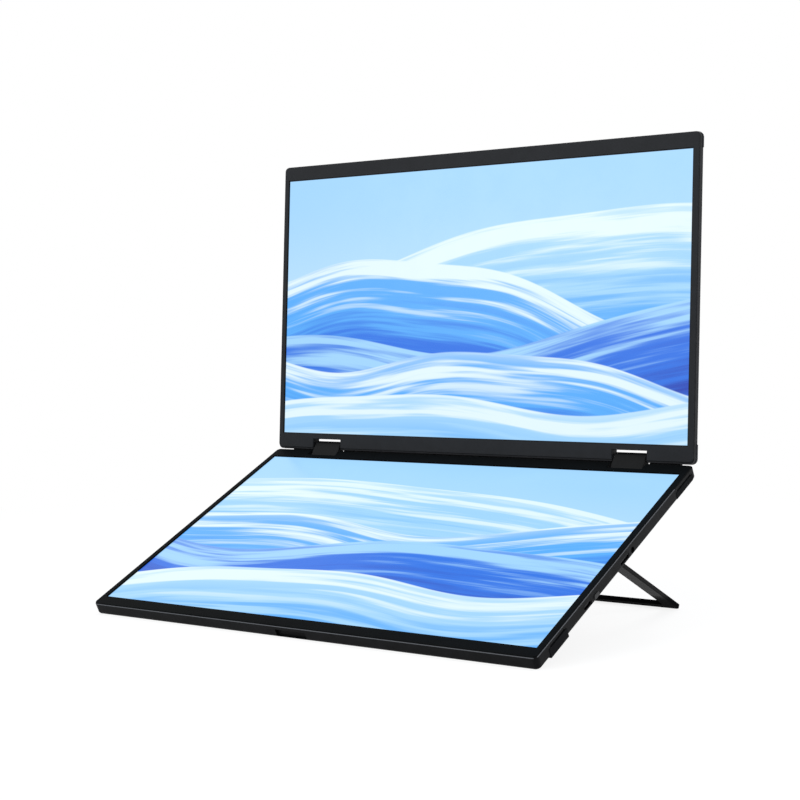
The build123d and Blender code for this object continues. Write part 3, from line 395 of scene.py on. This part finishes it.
def satin_finish(
    name, dark, light, rough, rough_worn, grain, bump, gloss=0.1,
    panel=None, rim=None, window_shade=None, shade_below=None,
):
    """Dark satin surface: grain gives the bump, mottle and edge wear lift the colour and change the gloss.

    A panel's rim can take a painted highlight or painted shade, and the lip round its lit area painted shade.
    A piece can take painted shade, near-black, up to a height over the table.
    """
    material, tree = new_finish(name)
    place = panel_place(tree, panel["origin"], panel["angle"]) if panel else object_place(tree)
    texture = use_group(tree, grain_group, {"Vector": place, "Grain Size": grain, "Mottle Size": mottle_size})
    lift = calc(tree, "MULTIPLY", texture.outputs["Mottle"], mottle_lift)
    if panel:
        worn = use_group(tree, wear_and_light_group, {
            "Vector": place, "Half Width": panel_half_width, "Hinge Edge": hinge_edge,
            "Far Edge": panel["far_edge"], "Rim Start": panel["rim_start"],
        })
        worn_lift = calc(tree, "MULTIPLY", worn.outputs["Mask"], wear_lift)
        lift = calc(tree, "ADD", lift, worn_lift, clamp=True)
    bump_node = put(tree, "ShaderNodeBump", {
        "Height": texture.outputs["Height"], "Strength": bump, "Distance": grain / 4,
    })
    colour = blend_colours(tree, lift, dark, light)
    roughness = ramp(tree, lift, 0.0, 1.0, rough, rough_worn)
    # Painted light on the rim band: the colour given, a highlight on the base and shade on the lid.
    if rim:
        colour = blend_colours(tree, worn.outputs["Rim"], colour, rim)
    # Painted shade on the lip round the lit area.
    if window_shade:
        colour = blend_colours(tree, worn.outputs["Window"], colour, window_shade)
    # Painted shade: near-black below the given height over the table, for the shade under the stand's bar.
    if shade_below:
        low_shade = ramp(tree, split_axes(tree, place)[2], shade_below, shade_below / 3)
        colour = blend_colours(tree, low_shade, colour, painted_shade_black)
        roughness = calc(tree, "MAXIMUM", roughness, low_shade)
    shader = put(tree, "ShaderNodeBsdfPrincipled", {
        "Base Color": colour,
        "Roughness": roughness,
        "Normal": bump_node.outputs[0],
        "Specular IOR Level": gloss,
    })
    put(tree, "ShaderNodeOutputMaterial", {"Surface": shader.outputs[0]})
    return material


print("satin recipe: mottle", mottle_size, "m wide")

# %% [markdown]
# The monitor is black all over, but no two of its blacks are alike.
# The lid's casing and bezel are paler than the base's, as painted light on the upright lid and painted shade
# on the lying base. The lid's pads are paler than the base's feet as painted light from the right, the
# stand's rubber strip is near-black as painted shade, the rubber is dull, and the push button is smoother
# than the wall.
# Each piece could have one flat black, and would then lose its outline against its neighbour.
# So every finish is the same recipe with its own pair of blacks, grain and gloss.

# %% Finishes: casings, bezels, rubber and moulded parts
rear_foot_end = -0.0176
lid_far_edge = 0.2046
base_panel = {
    "origin": base_origin, "angle": base_tilt, "far_edge": base_far_edge, "rim_start": rear_foot_end,
}
lid_panel = {
    "origin": lid_origin, "angle": lid_slope, "far_edge": lid_far_edge, "rim_start": hinge_edge,
}
# Painted shade: the base's casing is a darker copy of the lid's black; its rim colour is a painted highlight.
base_casing_shaded = satin_finish(
    "base_casing_black", screen_colour(11, 12, 13), screen_colour(32, 33, 36), rough=0.5, rough_worn=0.4,
    grain=0.00035, bump=0.25, gloss=0.06, panel=base_panel, rim=screen_colour(94, 96, 100),
)
# Painted light: the lid's casing is a paler copy of the base's black; its rim is painted shade.
lid_casing_lit = satin_finish(
    "lid_casing_black", screen_colour(22, 23, 26), screen_colour(46, 48, 52), rough=0.5, rough_worn=0.4,
    grain=0.00035, bump=0.25, panel=lid_panel, rim=painted_shade_black,
)
# Painted shade: the base's bezel is a darker copy of the lid's, with painted shade on the lip round the lit
# area.
base_bezel_shaded = satin_finish(
    "base_bezel_black", screen_colour(9, 11, 12), screen_colour(22, 24, 26), rough=0.55, rough_worn=0.45,
    grain=0.00025, bump=0.2, gloss=0.02, panel=base_panel, window_shade=painted_shade_black,
)
# Painted light: the lid's bezel is a paler copy of the base's, with painted shade on the lip round the lit
# area.
lid_bezel_lit = satin_finish(
    "lid_bezel_black", screen_colour(26, 28, 31), screen_colour(44, 46, 50), rough=0.55, rough_worn=0.45,
    grain=0.00025, bump=0.2, gloss=0.12, panel=lid_panel, window_shade=painted_shade_black,
)
# Painted light: the lid's pads are a paler rubber than the base's feet, for light from the right.
pad_rubber_lit = satin_finish(
    "pad_rubber_lit", screen_colour(50, 51, 55), screen_colour(68, 69, 73), rough=0.85, rough_worn=0.75,
    grain=0.0006, bump=0.5,
)
foot_rubber = satin_finish(
    "foot_rubber", screen_colour(17, 18, 20), screen_colour(32, 33, 36), rough=0.85, rough_worn=0.75,
    grain=0.0006, bump=0.5, gloss=0.06,
)
# Painted shade: the strip is near-black for the shade under the stand's bar.
strip_rubber_shaded = satin_finish(
    "stand_strip_rubber", screen_colour(5, 5, 6), screen_colour(14, 14, 15), rough=0.85, rough_worn=0.75,
    grain=0.0006, bump=0.5, gloss=0.0,
)
block_black = satin_finish(
    "hinge_block_black", screen_colour(14, 15, 16), screen_colour(28, 29, 31), rough=0.45, rough_worn=0.4,
    grain=0.0003, bump=0.2,
)
# Painted shade: near-black below 18 mm over the table.
stand_black = satin_finish(
    "stand_anodised_black", screen_colour(5, 5, 6), screen_colour(18, 18, 20), rough=0.45, rough_worn=0.4,
    grain=0.0003, bump=0.2, gloss=0.05, shade_below=0.018,
)
button_black = satin_finish(
    "button_satin_black", screen_colour(26, 27, 29), screen_colour(46, 47, 50), rough=0.35, rough_worn=0.3,
    grain=0.0003, bump=0.15, gloss=0.25,
)
moulded_black = satin_finish(
    "moulded_black", screen_colour(10, 10, 11), screen_colour(24, 24, 26), rough=0.5, rough_worn=0.4,
    grain=0.0003, bump=0.3,
)
print("materials so far", len(bpy.data.materials))

# %% [markdown]
# Turned and drawn steel shows fine lines along the way it was worked.
# A noise that is stretched along X gives those lines, because the shafts, pins and brackets all run along X.

# %% Shared effect and finishes: worked steel
line_bump = 0.15
lines_group, lines_in, lines_out = new_group(
    "worked_lines",
    [("Vector", VECTOR, None), ("Line Width", FLOAT, 0.0001), ("Line Length", FLOAT, 0.01)],
    [("Height", FLOAT), ("Tone", FLOAT)],
)
line_x, line_y, line_z = split_axes(lines_group, lines_in.outputs["Vector"])
line_space = put(lines_group, "ShaderNodeCombineXYZ", {
    0: calc(lines_group, "DIVIDE", line_x, lines_in.outputs["Line Length"]),
    1: calc(lines_group, "DIVIDE", line_y, lines_in.outputs["Line Width"]),
    2: calc(lines_group, "DIVIDE", line_z, lines_in.outputs["Line Width"]),
})
line_noise = put(lines_group, "ShaderNodeTexNoise", {
    "Vector": line_space.outputs[0], "Scale": 1.0, "Detail": 3.0,
})
line_tone = ramp(lines_group, line_noise.outputs[0], 0.35, 0.65)
lines_group.links.new(line_noise.outputs[0], lines_out.inputs["Height"])
lines_group.links.new(line_tone, lines_out.inputs["Tone"])


def steel_finish(name, dark, light, rough_low, rough_high, line_width):
    """Worked steel: fine lines along X change the tone, the gloss and the bump."""
    material, tree = new_finish(name)
    lines = use_group(tree, lines_group, {"Vector": object_place(tree), "Line Width": line_width})
    bump_node = put(tree, "ShaderNodeBump", {
        "Height": lines.outputs["Height"], "Strength": line_bump, "Distance": line_width,
    })
    shader = put(tree, "ShaderNodeBsdfPrincipled", {
        "Base Color": blend_colours(tree, lines.outputs["Tone"], dark, light),
        "Roughness": ramp(tree, lines.outputs["Tone"], 0.0, 1.0, rough_low, rough_high),
        "Normal": bump_node.outputs[0],
        "Metallic": 1.0,
    })
    put(tree, "ShaderNodeOutputMaterial", {"Surface": shader.outputs[0]})
    return material


ground_steel = steel_finish(
    "ground_steel", screen_colour(165, 167, 170), screen_colour(205, 206, 208),
    rough_low=0.2, rough_high=0.34, line_width=0.00012,
)
drawn_shell = steel_finish(
    "drawn_socket_shell", screen_colour(34, 34, 36), screen_colour(60, 60, 63),
    rough_low=0.35, rough_high=0.5, line_width=0.0002,
)
black_steel = steel_finish(
    "blackened_steel", screen_colour(48, 48, 50), screen_colour(74, 74, 77), rough_low=0.35, rough_high=0.5,
    line_width=0.00015,
)
print("group", lines_group.name, "nodes", len(lines_group.nodes))

# %% [markdown]
# The lit screens carry a calm picture of the kind that comes with any display: a pale sky over rolling waves.
# One group draws one wave: its crest is a sum of two sines, it is bright at the crest and deepens below it,
# and thin streaks run alongside the crest. The picture lays several waves over each other.

# %% Shared effect: one wave of the picture
quick_pitch = 2.3
quick_phase = 1.1
quick_share = 0.22
crest_softness = 0.003
streak_along = 0.7
streak_across = 16.0
streak_weight = -0.5
middle_tone = 0.45
wave_group, wave_in, wave_out = new_group(
    "picture_wave",
    [
        ("Vector", VECTOR, None), ("Behind", COLOUR, None), ("Crest Colour", COLOUR, None),
        ("Middle Colour", COLOUR, None), ("Deep Colour", COLOUR, None), ("Height", FLOAT, 0.5),
        ("Lean", FLOAT, 0.0), ("Swell", FLOAT, 0.1), ("Pitch", FLOAT, 4.0), ("Phase", FLOAT, 0.0),
        ("Depth", FLOAT, 0.3),
    ],
    [("Color", COLOUR)],
)
wave_given = wave_in.outputs
across, up, _ = split_axes(wave_group, wave_given["Vector"])
turn = calc(wave_group, "MULTIPLY_ADD", across, wave_given["Pitch"], wave_given["Phase"])
long_swell = calc(wave_group, "MULTIPLY", calc(wave_group, "SINE", turn), wave_given["Swell"])
quick_turn = calc(wave_group, "MULTIPLY_ADD", turn, quick_pitch, quick_phase)
short_swell = calc(wave_group, "MULTIPLY", calc(wave_group, "SINE", quick_turn), quick_share)
short_swell = calc(wave_group, "MULTIPLY", short_swell, wave_given["Swell"])
crest = calc(wave_group, "MULTIPLY_ADD", across, wave_given["Lean"], wave_given["Height"])
crest = calc(wave_group, "ADD", crest, calc(wave_group, "ADD", long_swell, short_swell))
below = calc(wave_group, "SUBTRACT", crest, up)
inside_wave = ramp(wave_group, below, -crest_softness, crest_softness)
sunk = calc(wave_group, "DIVIDE", below, wave_given["Depth"], clamp=True)
streak_space = put(wave_group, "ShaderNodeCombineXYZ", {
    0: calc(wave_group, "MULTIPLY", across, streak_along),
    1: calc(wave_group, "MULTIPLY", below, streak_across),
    2: wave_given["Phase"],
})
streak_noise = put(wave_group, "ShaderNodeTexNoise", {
    "Vector": streak_space.outputs[0], "Scale": 1.6, "Detail": 3.0, "Roughness": 0.55,
})
streak = calc(wave_group, "SUBTRACT", ramp(wave_group, streak_noise.outputs[0], 0.36, 0.68), 0.5)
tone = calc(wave_group, "MULTIPLY_ADD", streak, streak_weight, sunk, clamp=True)
upper_share = ramp(wave_group, tone, 0.0, middle_tone)
lower_share = ramp(wave_group, tone, middle_tone, 1.0)
upper_colour = blend_colours(wave_group, upper_share, wave_given["Crest Colour"], wave_given["Middle Colour"])
body_colour = blend_colours(wave_group, lower_share, upper_colour, wave_given["Deep Colour"])
wave_colour = blend_colours(wave_group, inside_wave, wave_given["Behind"], body_colour)
wave_group.links.new(wave_colour, wave_out.inputs["Color"])
print("group", wave_group.name, "nodes", len(wave_group.nodes))

# %% [markdown]
# A display gives off its own light, so the picture is the material's emission and not its surface colour.
# It is drawn in the panel's flat frame, measured in screen heights.
# It ends in a black border at the lit area's edge.
# An image would do as well, but waves made of nodes stay sharp at any distance.

# %% Finish: lit screens with the picture
picture_white = screen_colour(226, 246, 255)
picture_sky = screen_colour(196, 229, 255)
picture_haze = screen_colour(160, 212, 253)
picture_azure = screen_colour(84, 172, 250)
picture_blue = screen_colour(32, 112, 228)
picture_deep = screen_colour(16, 58, 176)
pale_tones = (picture_white, picture_haze, picture_azure)
mid_tones = (picture_white, picture_azure, picture_blue)
deep_tones = (picture_haze, picture_blue, picture_deep)
unlit_black = (0.001, 0.001, 0.001, 1.0)
glass_black = screen_colour(10, 10, 12)
glass_grain = 0.0002
glass_mottle = 0.03
lit_edge = 0.0003


def screen_finish(name, panel, foot_at_hinge, waves):
    """Lit display: the picture is its emission, with a smooth dark glass over it and a black rim."""
    material, tree = new_finish(name)
    place = panel_place(tree, panel["origin"], panel["angle"])
    x, y, _ = split_axes(tree, place)
    from_hinge = calc(tree, "MULTIPLY", y, -1.0)
    from_far_end = calc(tree, "ADD", y, display_height)
    share_up = calc(tree, "DIVIDE", from_hinge if foot_at_hinge else from_far_end, display_height)
    share_across = calc(tree, "DIVIDE", x, display_height)
    picture_place = put(tree, "ShaderNodeCombineXYZ", {0: share_across, 1: share_up}).outputs[0]
    colour = blend_colours(tree, ramp(tree, share_up, 0.2, 1.0), picture_sky, picture_haze)
    for wave in waves:
        crest_tone, middle, deep = wave["tones"]
        colour = use_group(tree, wave_group, {
            "Vector": picture_place, "Behind": colour, "Crest Colour": crest_tone, "Middle Colour": middle,
            "Deep Colour": deep, "Height": wave["height"], "Lean": wave["lean"], "Swell": wave["swell"],
            "Pitch": wave["pitch"], "Phase": wave["phase"], "Depth": wave["depth"],
        }).outputs[0]
    side_gap = calc(tree, "SUBTRACT", display_width / 2, calc(tree, "ABSOLUTE", x))
    end_gap = calc(tree, "MINIMUM", from_hinge, from_far_end)
    lit = ramp(tree, calc(tree, "MINIMUM", side_gap, end_gap), 0.0, lit_edge)
    texture = use_group(tree, grain_group, {
        "Vector": place, "Grain Size": glass_grain, "Mottle Size": glass_mottle,
    })
    shader = put(tree, "ShaderNodeBsdfPrincipled", {
        "Base Color": glass_black,
        "Roughness": ramp(tree, texture.outputs["Mottle"], 0.0, 1.0, 0.22, 0.28),
        "Specular IOR Level": 0.25,
        "Emission Color": blend_colours(tree, lit, unlit_black, colour),
        "Emission Strength": 1.0,
    })
    put(tree, "ShaderNodeOutputMaterial", {"Surface": shader.outputs[0]})
    return material


lid_waves = (
    dict(height=0.72, lean=0.06, swell=0.07, pitch=2.6, phase=0.4, depth=0.5, tones=pale_tones),
    dict(height=0.56, lean=-0.1, swell=0.09, pitch=3.1, phase=2.2, depth=0.42, tones=mid_tones),
    dict(height=0.40, lean=0.09, swell=0.08, pitch=2.4, phase=4.4, depth=0.4, tones=deep_tones),
    dict(height=0.27, lean=-0.06, swell=0.06, pitch=3.4, phase=0.9, depth=0.34, tones=mid_tones),
    dict(height=0.13, lean=0.04, swell=0.05, pitch=2.9, phase=3.0, depth=0.3, tones=pale_tones),
)
base_waves = (
    dict(height=0.78, lean=-0.08, swell=0.06, pitch=2.3, phase=1.6, depth=0.5, tones=pale_tones),
    dict(height=0.60, lean=0.1, swell=0.08, pitch=2.9, phase=3.9, depth=0.44, tones=mid_tones),
    dict(height=0.43, lean=-0.05, swell=0.09, pitch=2.5, phase=0.3, depth=0.4, tones=deep_tones),
    dict(height=0.24, lean=0.08, swell=0.06, pitch=3.2, phase=2.6, depth=0.34, tones=pale_tones),
)
lid_picture = screen_finish("lid_screen_picture", lid_panel, True, lid_waves)
base_picture = screen_finish("base_screen_picture", base_panel, False, base_waves)
print("screens: waves", len(lid_waves), len(base_waves))

# %% [markdown]
# The inside of the monitor hardly shows, but each piece still gets the finish it has on the bench:
# green boards with paler tracks, grey laminated display modules, and black moulded parts.

# %% Finishes: boards and display modules
track_scale = 260.0
track_width = 0.08


def board_finish(name):
    """Circuit board: a brick pattern gives short tracks in a lighter green."""
    material, tree = new_finish(name)
    tracks = put(tree, "ShaderNodeTexBrick", {
        "Vector": object_place(tree), "Scale": track_scale, "Mortar Size": track_width,
        "Color1": screen_colour(18, 74, 44), "Color2": screen_colour(24, 88, 52),
        "Mortar": screen_colour(60, 128, 80),
    })
    shader = put(tree, "ShaderNodeBsdfPrincipled", {"Base Color": tracks.outputs[0], "Roughness": 0.45})
    put(tree, "ShaderNodeOutputMaterial", {"Surface": shader.outputs[0]})
    return material


solder_green = board_finish("solder_mask_green")
module_grey = satin_finish(
    "display_module_grey", screen_colour(120, 122, 124), screen_colour(150, 152, 154),
    rough=0.4, rough_worn=0.5, grain=0.0005, bump=0.1,
)
print("inner finishes", solder_green.name, module_grey.name)

# %% [markdown]
# Every solid arrives with a plain material in its slots, and the finish takes its place there.
# The meshes themselves stay as they are, so only the slots are filled, from one list of names.

# %% Give every solid its finish
finish_of = {
    "base_rear_cover": base_casing_shaded, "lid_rear_cover": lid_casing_lit,
    "base_front_bezel": base_bezel_shaded, "lid_front_bezel": lid_bezel_lit,
    "base_screen": base_picture, "lid_screen": lid_picture,
    "base_lcd_module": module_grey, "lid_lcd_module": module_grey,
    "base_feet": foot_rubber, "lid_corner_pads": pad_rubber_lit, "stand_foot_strip": strip_rubber_shaded,
    "base_hinge_shafts": ground_steel, "lid_hinge_shafts": ground_steel, "stand_hinge_pins": ground_steel,
    "lower_idler_gears": ground_steel, "upper_idler_gears": ground_steel,
    "base_friction_sleeves": ground_steel, "lid_friction_sleeves": ground_steel,
    "base_hinge_brackets": ground_steel, "lid_hinge_brackets": ground_steel,
    "base_cover_screws": black_steel, "lid_cover_screws": black_steel,
    "hinge_block_left": block_black, "hinge_block_right": block_black, "hinge_end_plates": block_black,
    "stand_frame": stand_black,
    "main_board": solder_green, "lid_driver_board": solder_green,
    "board_chips": moulded_black, "speakers": moulded_black, "button_switch": moulded_black,
    "power_button": button_black, "headphone_socket": moulded_black,
    "usb_c_socket": drawn_shell, "mini_hdmi_socket": drawn_shell,
}
for name, finish in finish_of.items():
    slots = nodes[name].data.materials
    for index in range(len(slots)):
        slots[index] = finish
print("finished solids", len(finish_of), "of", len(nodes))

# %% [markdown]
# New pieces are surfaces worked out as whole arrays of points.
# A turned piece is a grid of rings, with one point at each end to close it.
# A small bar is a box of eight points.
# Blender then only has to be told which points make a face, and to turn all faces outwards.

# %% Helpers for new pieces


def panel_points(origin, angle, x, y, z):
    """Points of a panel's flat frame in the monitor's frame: X stays, and Y and Z turn with the panel."""
    along = slope(angle)
    out = slope(angle + quarter_turn)
    sideways = np.array([1.0, 0.0, 0.0])
    return origin + x[..., None] * sideways + y[..., None] * along + z[..., None] * out


def add_piece(name, points, faces, body, finish, smooth):
    """Mesh object from points and faces, with its faces turned outwards, riding on a body."""
    mesh = bpy.data.meshes.new(name)
    mesh.from_pydata(points.reshape(-1, 3).tolist(), [], faces)
    shape = bmesh.new()
    shape.from_mesh(mesh)
    bmesh.ops.recalc_face_normals(shape, faces=shape.faces)
    shape.to_mesh(mesh)
    shape.free()
    mesh.polygons.foreach_set("use_smooth", np.full(len(mesh.polygons), smooth))
    mesh.materials.append(finish)
    piece = bpy.data.objects.new(name, mesh)
    scene.collection.objects.link(piece)
    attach(piece, body)
    return piece


def ring_faces(rings, turns):
    """Quads between neighbouring rings of points, wrapped round, and fans to a point at each end."""
    ring, turn = np.meshgrid(np.arange(rings - 1), np.arange(turns), indexing="ij")
    after = (turn + 1) % turns
    here = ring * turns
    below = here + turns
    quads = np.stack([here + turn, below + turn, below + after, here + after], axis=-1)
    step = np.arange(turns)
    following = (step + 1) % turns
    first = np.stack([np.full(turns, rings * turns), step, following], axis=-1)
    last_ring = (rings - 1) * turns
    last = np.stack([np.full(turns, rings * turns + 1), last_ring + following, last_ring + step], axis=-1)
    return quads.reshape(-1, 4).tolist() + first.tolist() + last.tolist()


print("faces of two rings of three points", len(ring_faces(2, 3)))

# %% [markdown]
# Five small screws hold each rear cover along its hinge edge, with their heads sunk in the cover.
# A disc would do from afar, but from behind the cross in each head shows.
# A screw is a turned shape, so it is a profile carried round its axis, and the cross is pressed into its top.

# %% Pieces: cover screws with a cross in the head
screw_places = np.array([-0.158, -0.075, 0.0, 0.075, 0.158])
screw_from_display = 0.0066
screw_recess = 0.0011
screw_head_radius = 0.0016
screw_head_height = 0.0009
screw_rim_radius = 0.0003
screw_flat_radius = 0.0013
screw_centre_radius = 0.00004
screw_shank_radius = 0.0008
screw_tip_length = 0.0004
screw_tip_gap = 0.0008
screw_turns = 64
cross_reach = 0.00105
cross_half_width = 0.00017
cross_depth = 0.00055
base_cover_depth = 0.0085
lid_cover_depth = 0.0066


def screw_rings(shank_length):
    """One screw as rings of radius, angle and height over its seat.

    The radius goes out over the head, down its rounded rim, in under the head and down the shank.
    The cross lowers each point of the top by an amount that falls evenly with its distance from the
    nearer arm, and towards the ends of the arms.
    """
    top_radius = np.linspace(screw_centre_radius, screw_flat_radius, 20)
    rim_turn = np.linspace(0.0, quarter_turn, 6)[1:]
    rim_radius = screw_flat_radius + screw_rim_radius * np.sin(rim_turn)
    rim_height = screw_head_height - screw_rim_radius * (1 - np.cos(rim_turn))
    tip_radius = screw_shank_radius * 0.5
    low_radius = np.array([screw_head_radius, screw_shank_radius, screw_shank_radius, tip_radius])
    low_height = np.array([0.0, 0.0, screw_tip_length - shank_length, -shank_length])
    radius = np.concatenate([top_radius, rim_radius, low_radius])
    height = np.concatenate([np.full(top_radius.shape, screw_head_height), rim_height, low_height])
    angle = np.arange(screw_turns) * 2 * math.pi / screw_turns
    x = radius[:, None] * np.cos(angle)[None, :]
    y = radius[:, None] * np.sin(angle)[None, :]
    arm = np.minimum(np.abs(x), np.abs(y))
    in_arm = np.clip((1.6 * cross_half_width - arm) / (0.9 * cross_half_width), 0.0, 1.0)
    in_reach = np.clip((cross_reach - radius) / (0.4 * cross_reach), 0.0, 1.0)[:, None]
    on_top = (height == screw_head_height)[:, None]
    z = height[:, None] - cross_depth * in_arm * in_reach * on_top
    ends = np.array([[0.0, 0.0, screw_head_height - cross_depth], [0.0, 0.0, -shank_length]])
    return np.concatenate([np.stack([x, y, z], axis=-1).reshape(-1, 3), ends]), len(radius)


def add_screws(name, node, body, panel, back, depth):
    """All screws of one cover as one piece that stands for the plain solids.

    The sign of Z behind the screen is given as back.
    """
    shank_length = depth - screw_recess - screw_tip_gap
    one_screw, rings = screw_rings(shank_length)
    x = screw_places[:, None] + one_screw[None, :, 0]
    y = screw_from_display + np.broadcast_to(one_screw[None, :, 1], x.shape)
    z = back * (depth - screw_recess + np.broadcast_to(one_screw[None, :, 2], x.shape))
    points = panel_points(panel["origin"], panel["angle"], x, y, z)
    one_faces = ring_faces(rings, screw_turns)
    starts = [count * len(one_screw) for count in range(len(screw_places))]
    faces = [[corner + start for corner in face] for start in starts for face in one_faces]
    piece = add_piece(name, points, faces, body, black_steel, True)
    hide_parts(node)
    return piece


base_screws = add_screws("base_cross_screws", "base_cover_screws", "base", base_panel, -1, base_cover_depth)
lid_screws = add_screws("lid_cross_screws", "lid_cover_screws", "lid", lid_panel, 1, lid_cover_depth)
print("screw faces, base and lid", len(base_screws.data.polygons), len(lid_screws.data.polygons))

# %% [markdown]
# A socket shows rows of gilded contacts on its tongue, and they catch the light deep in the mouth.
# Each contact is a small bar, so one box of eight points is repeated along the tongue.

# %% Pieces: gilded contacts in the two slot sockets
socket_mouth = 0.1767
socket_depth = 0.0054
oval_socket_place = 0.1422
slot_socket_place = 0.09285
contact_length = 0.0034
contact_pitch = 0.0005
contact_proud = 0.00004
tongue_half = 0.00035
contact_start = 0.0014
gilt = steel_finish(
    "gilded_contact", screen_colour(196, 152, 70), screen_colour(236, 200, 120),
    rough_low=0.2, rough_high=0.35, line_width=0.0001,
)


def add_contacts(name, place, count, width):
    """Bars on both faces of a tongue: a grid of boxes, each from eight corner signs."""
    signs = np.array([[i, j, k] for i in (-1, 1) for j in (-1, 1) for k in (-1, 1)], float)
    grid = (2, count, len(signs))
    column = (np.arange(count) - (count - 1) / 2) * contact_pitch
    face_side = np.array([-1.0, 1.0])
    middle_x = socket_mouth - contact_start - contact_length / 2
    x = np.broadcast_to(middle_x + signs[None, None, :, 0] * contact_length / 2, grid)
    y = np.broadcast_to(-place + column[None, :, None] + signs[None, None, :, 1] * width / 2, grid)
    lift = face_side[:, None, None] * tongue_half + signs[None, None, :, 2] * contact_proud
    z = np.broadcast_to(-socket_depth + lift, grid)
    points = panel_points(base_origin, base_tilt, x, y, z)
    box_faces = np.array([[0, 1, 3, 2], [4, 6, 7, 5], [0, 4, 5, 1], [2, 3, 7, 6], [0, 2, 6, 4], [1, 5, 7, 3]])
    starts = np.arange(2 * count) * len(signs)
    faces = (starts[:, None, None] + box_faces[None]).reshape(-1, 4).tolist()
    return add_piece(name, points, faces, "base", gilt, False)


oval_contacts = add_contacts("oval_socket_contacts", oval_socket_place, count=12, width=0.00027)
slot_contacts = add_contacts("slot_socket_contacts", slot_socket_place, count=15, width=0.00025)
print("contact faces", len(oval_contacts.data.polygons), len(slot_contacts.data.polygons))
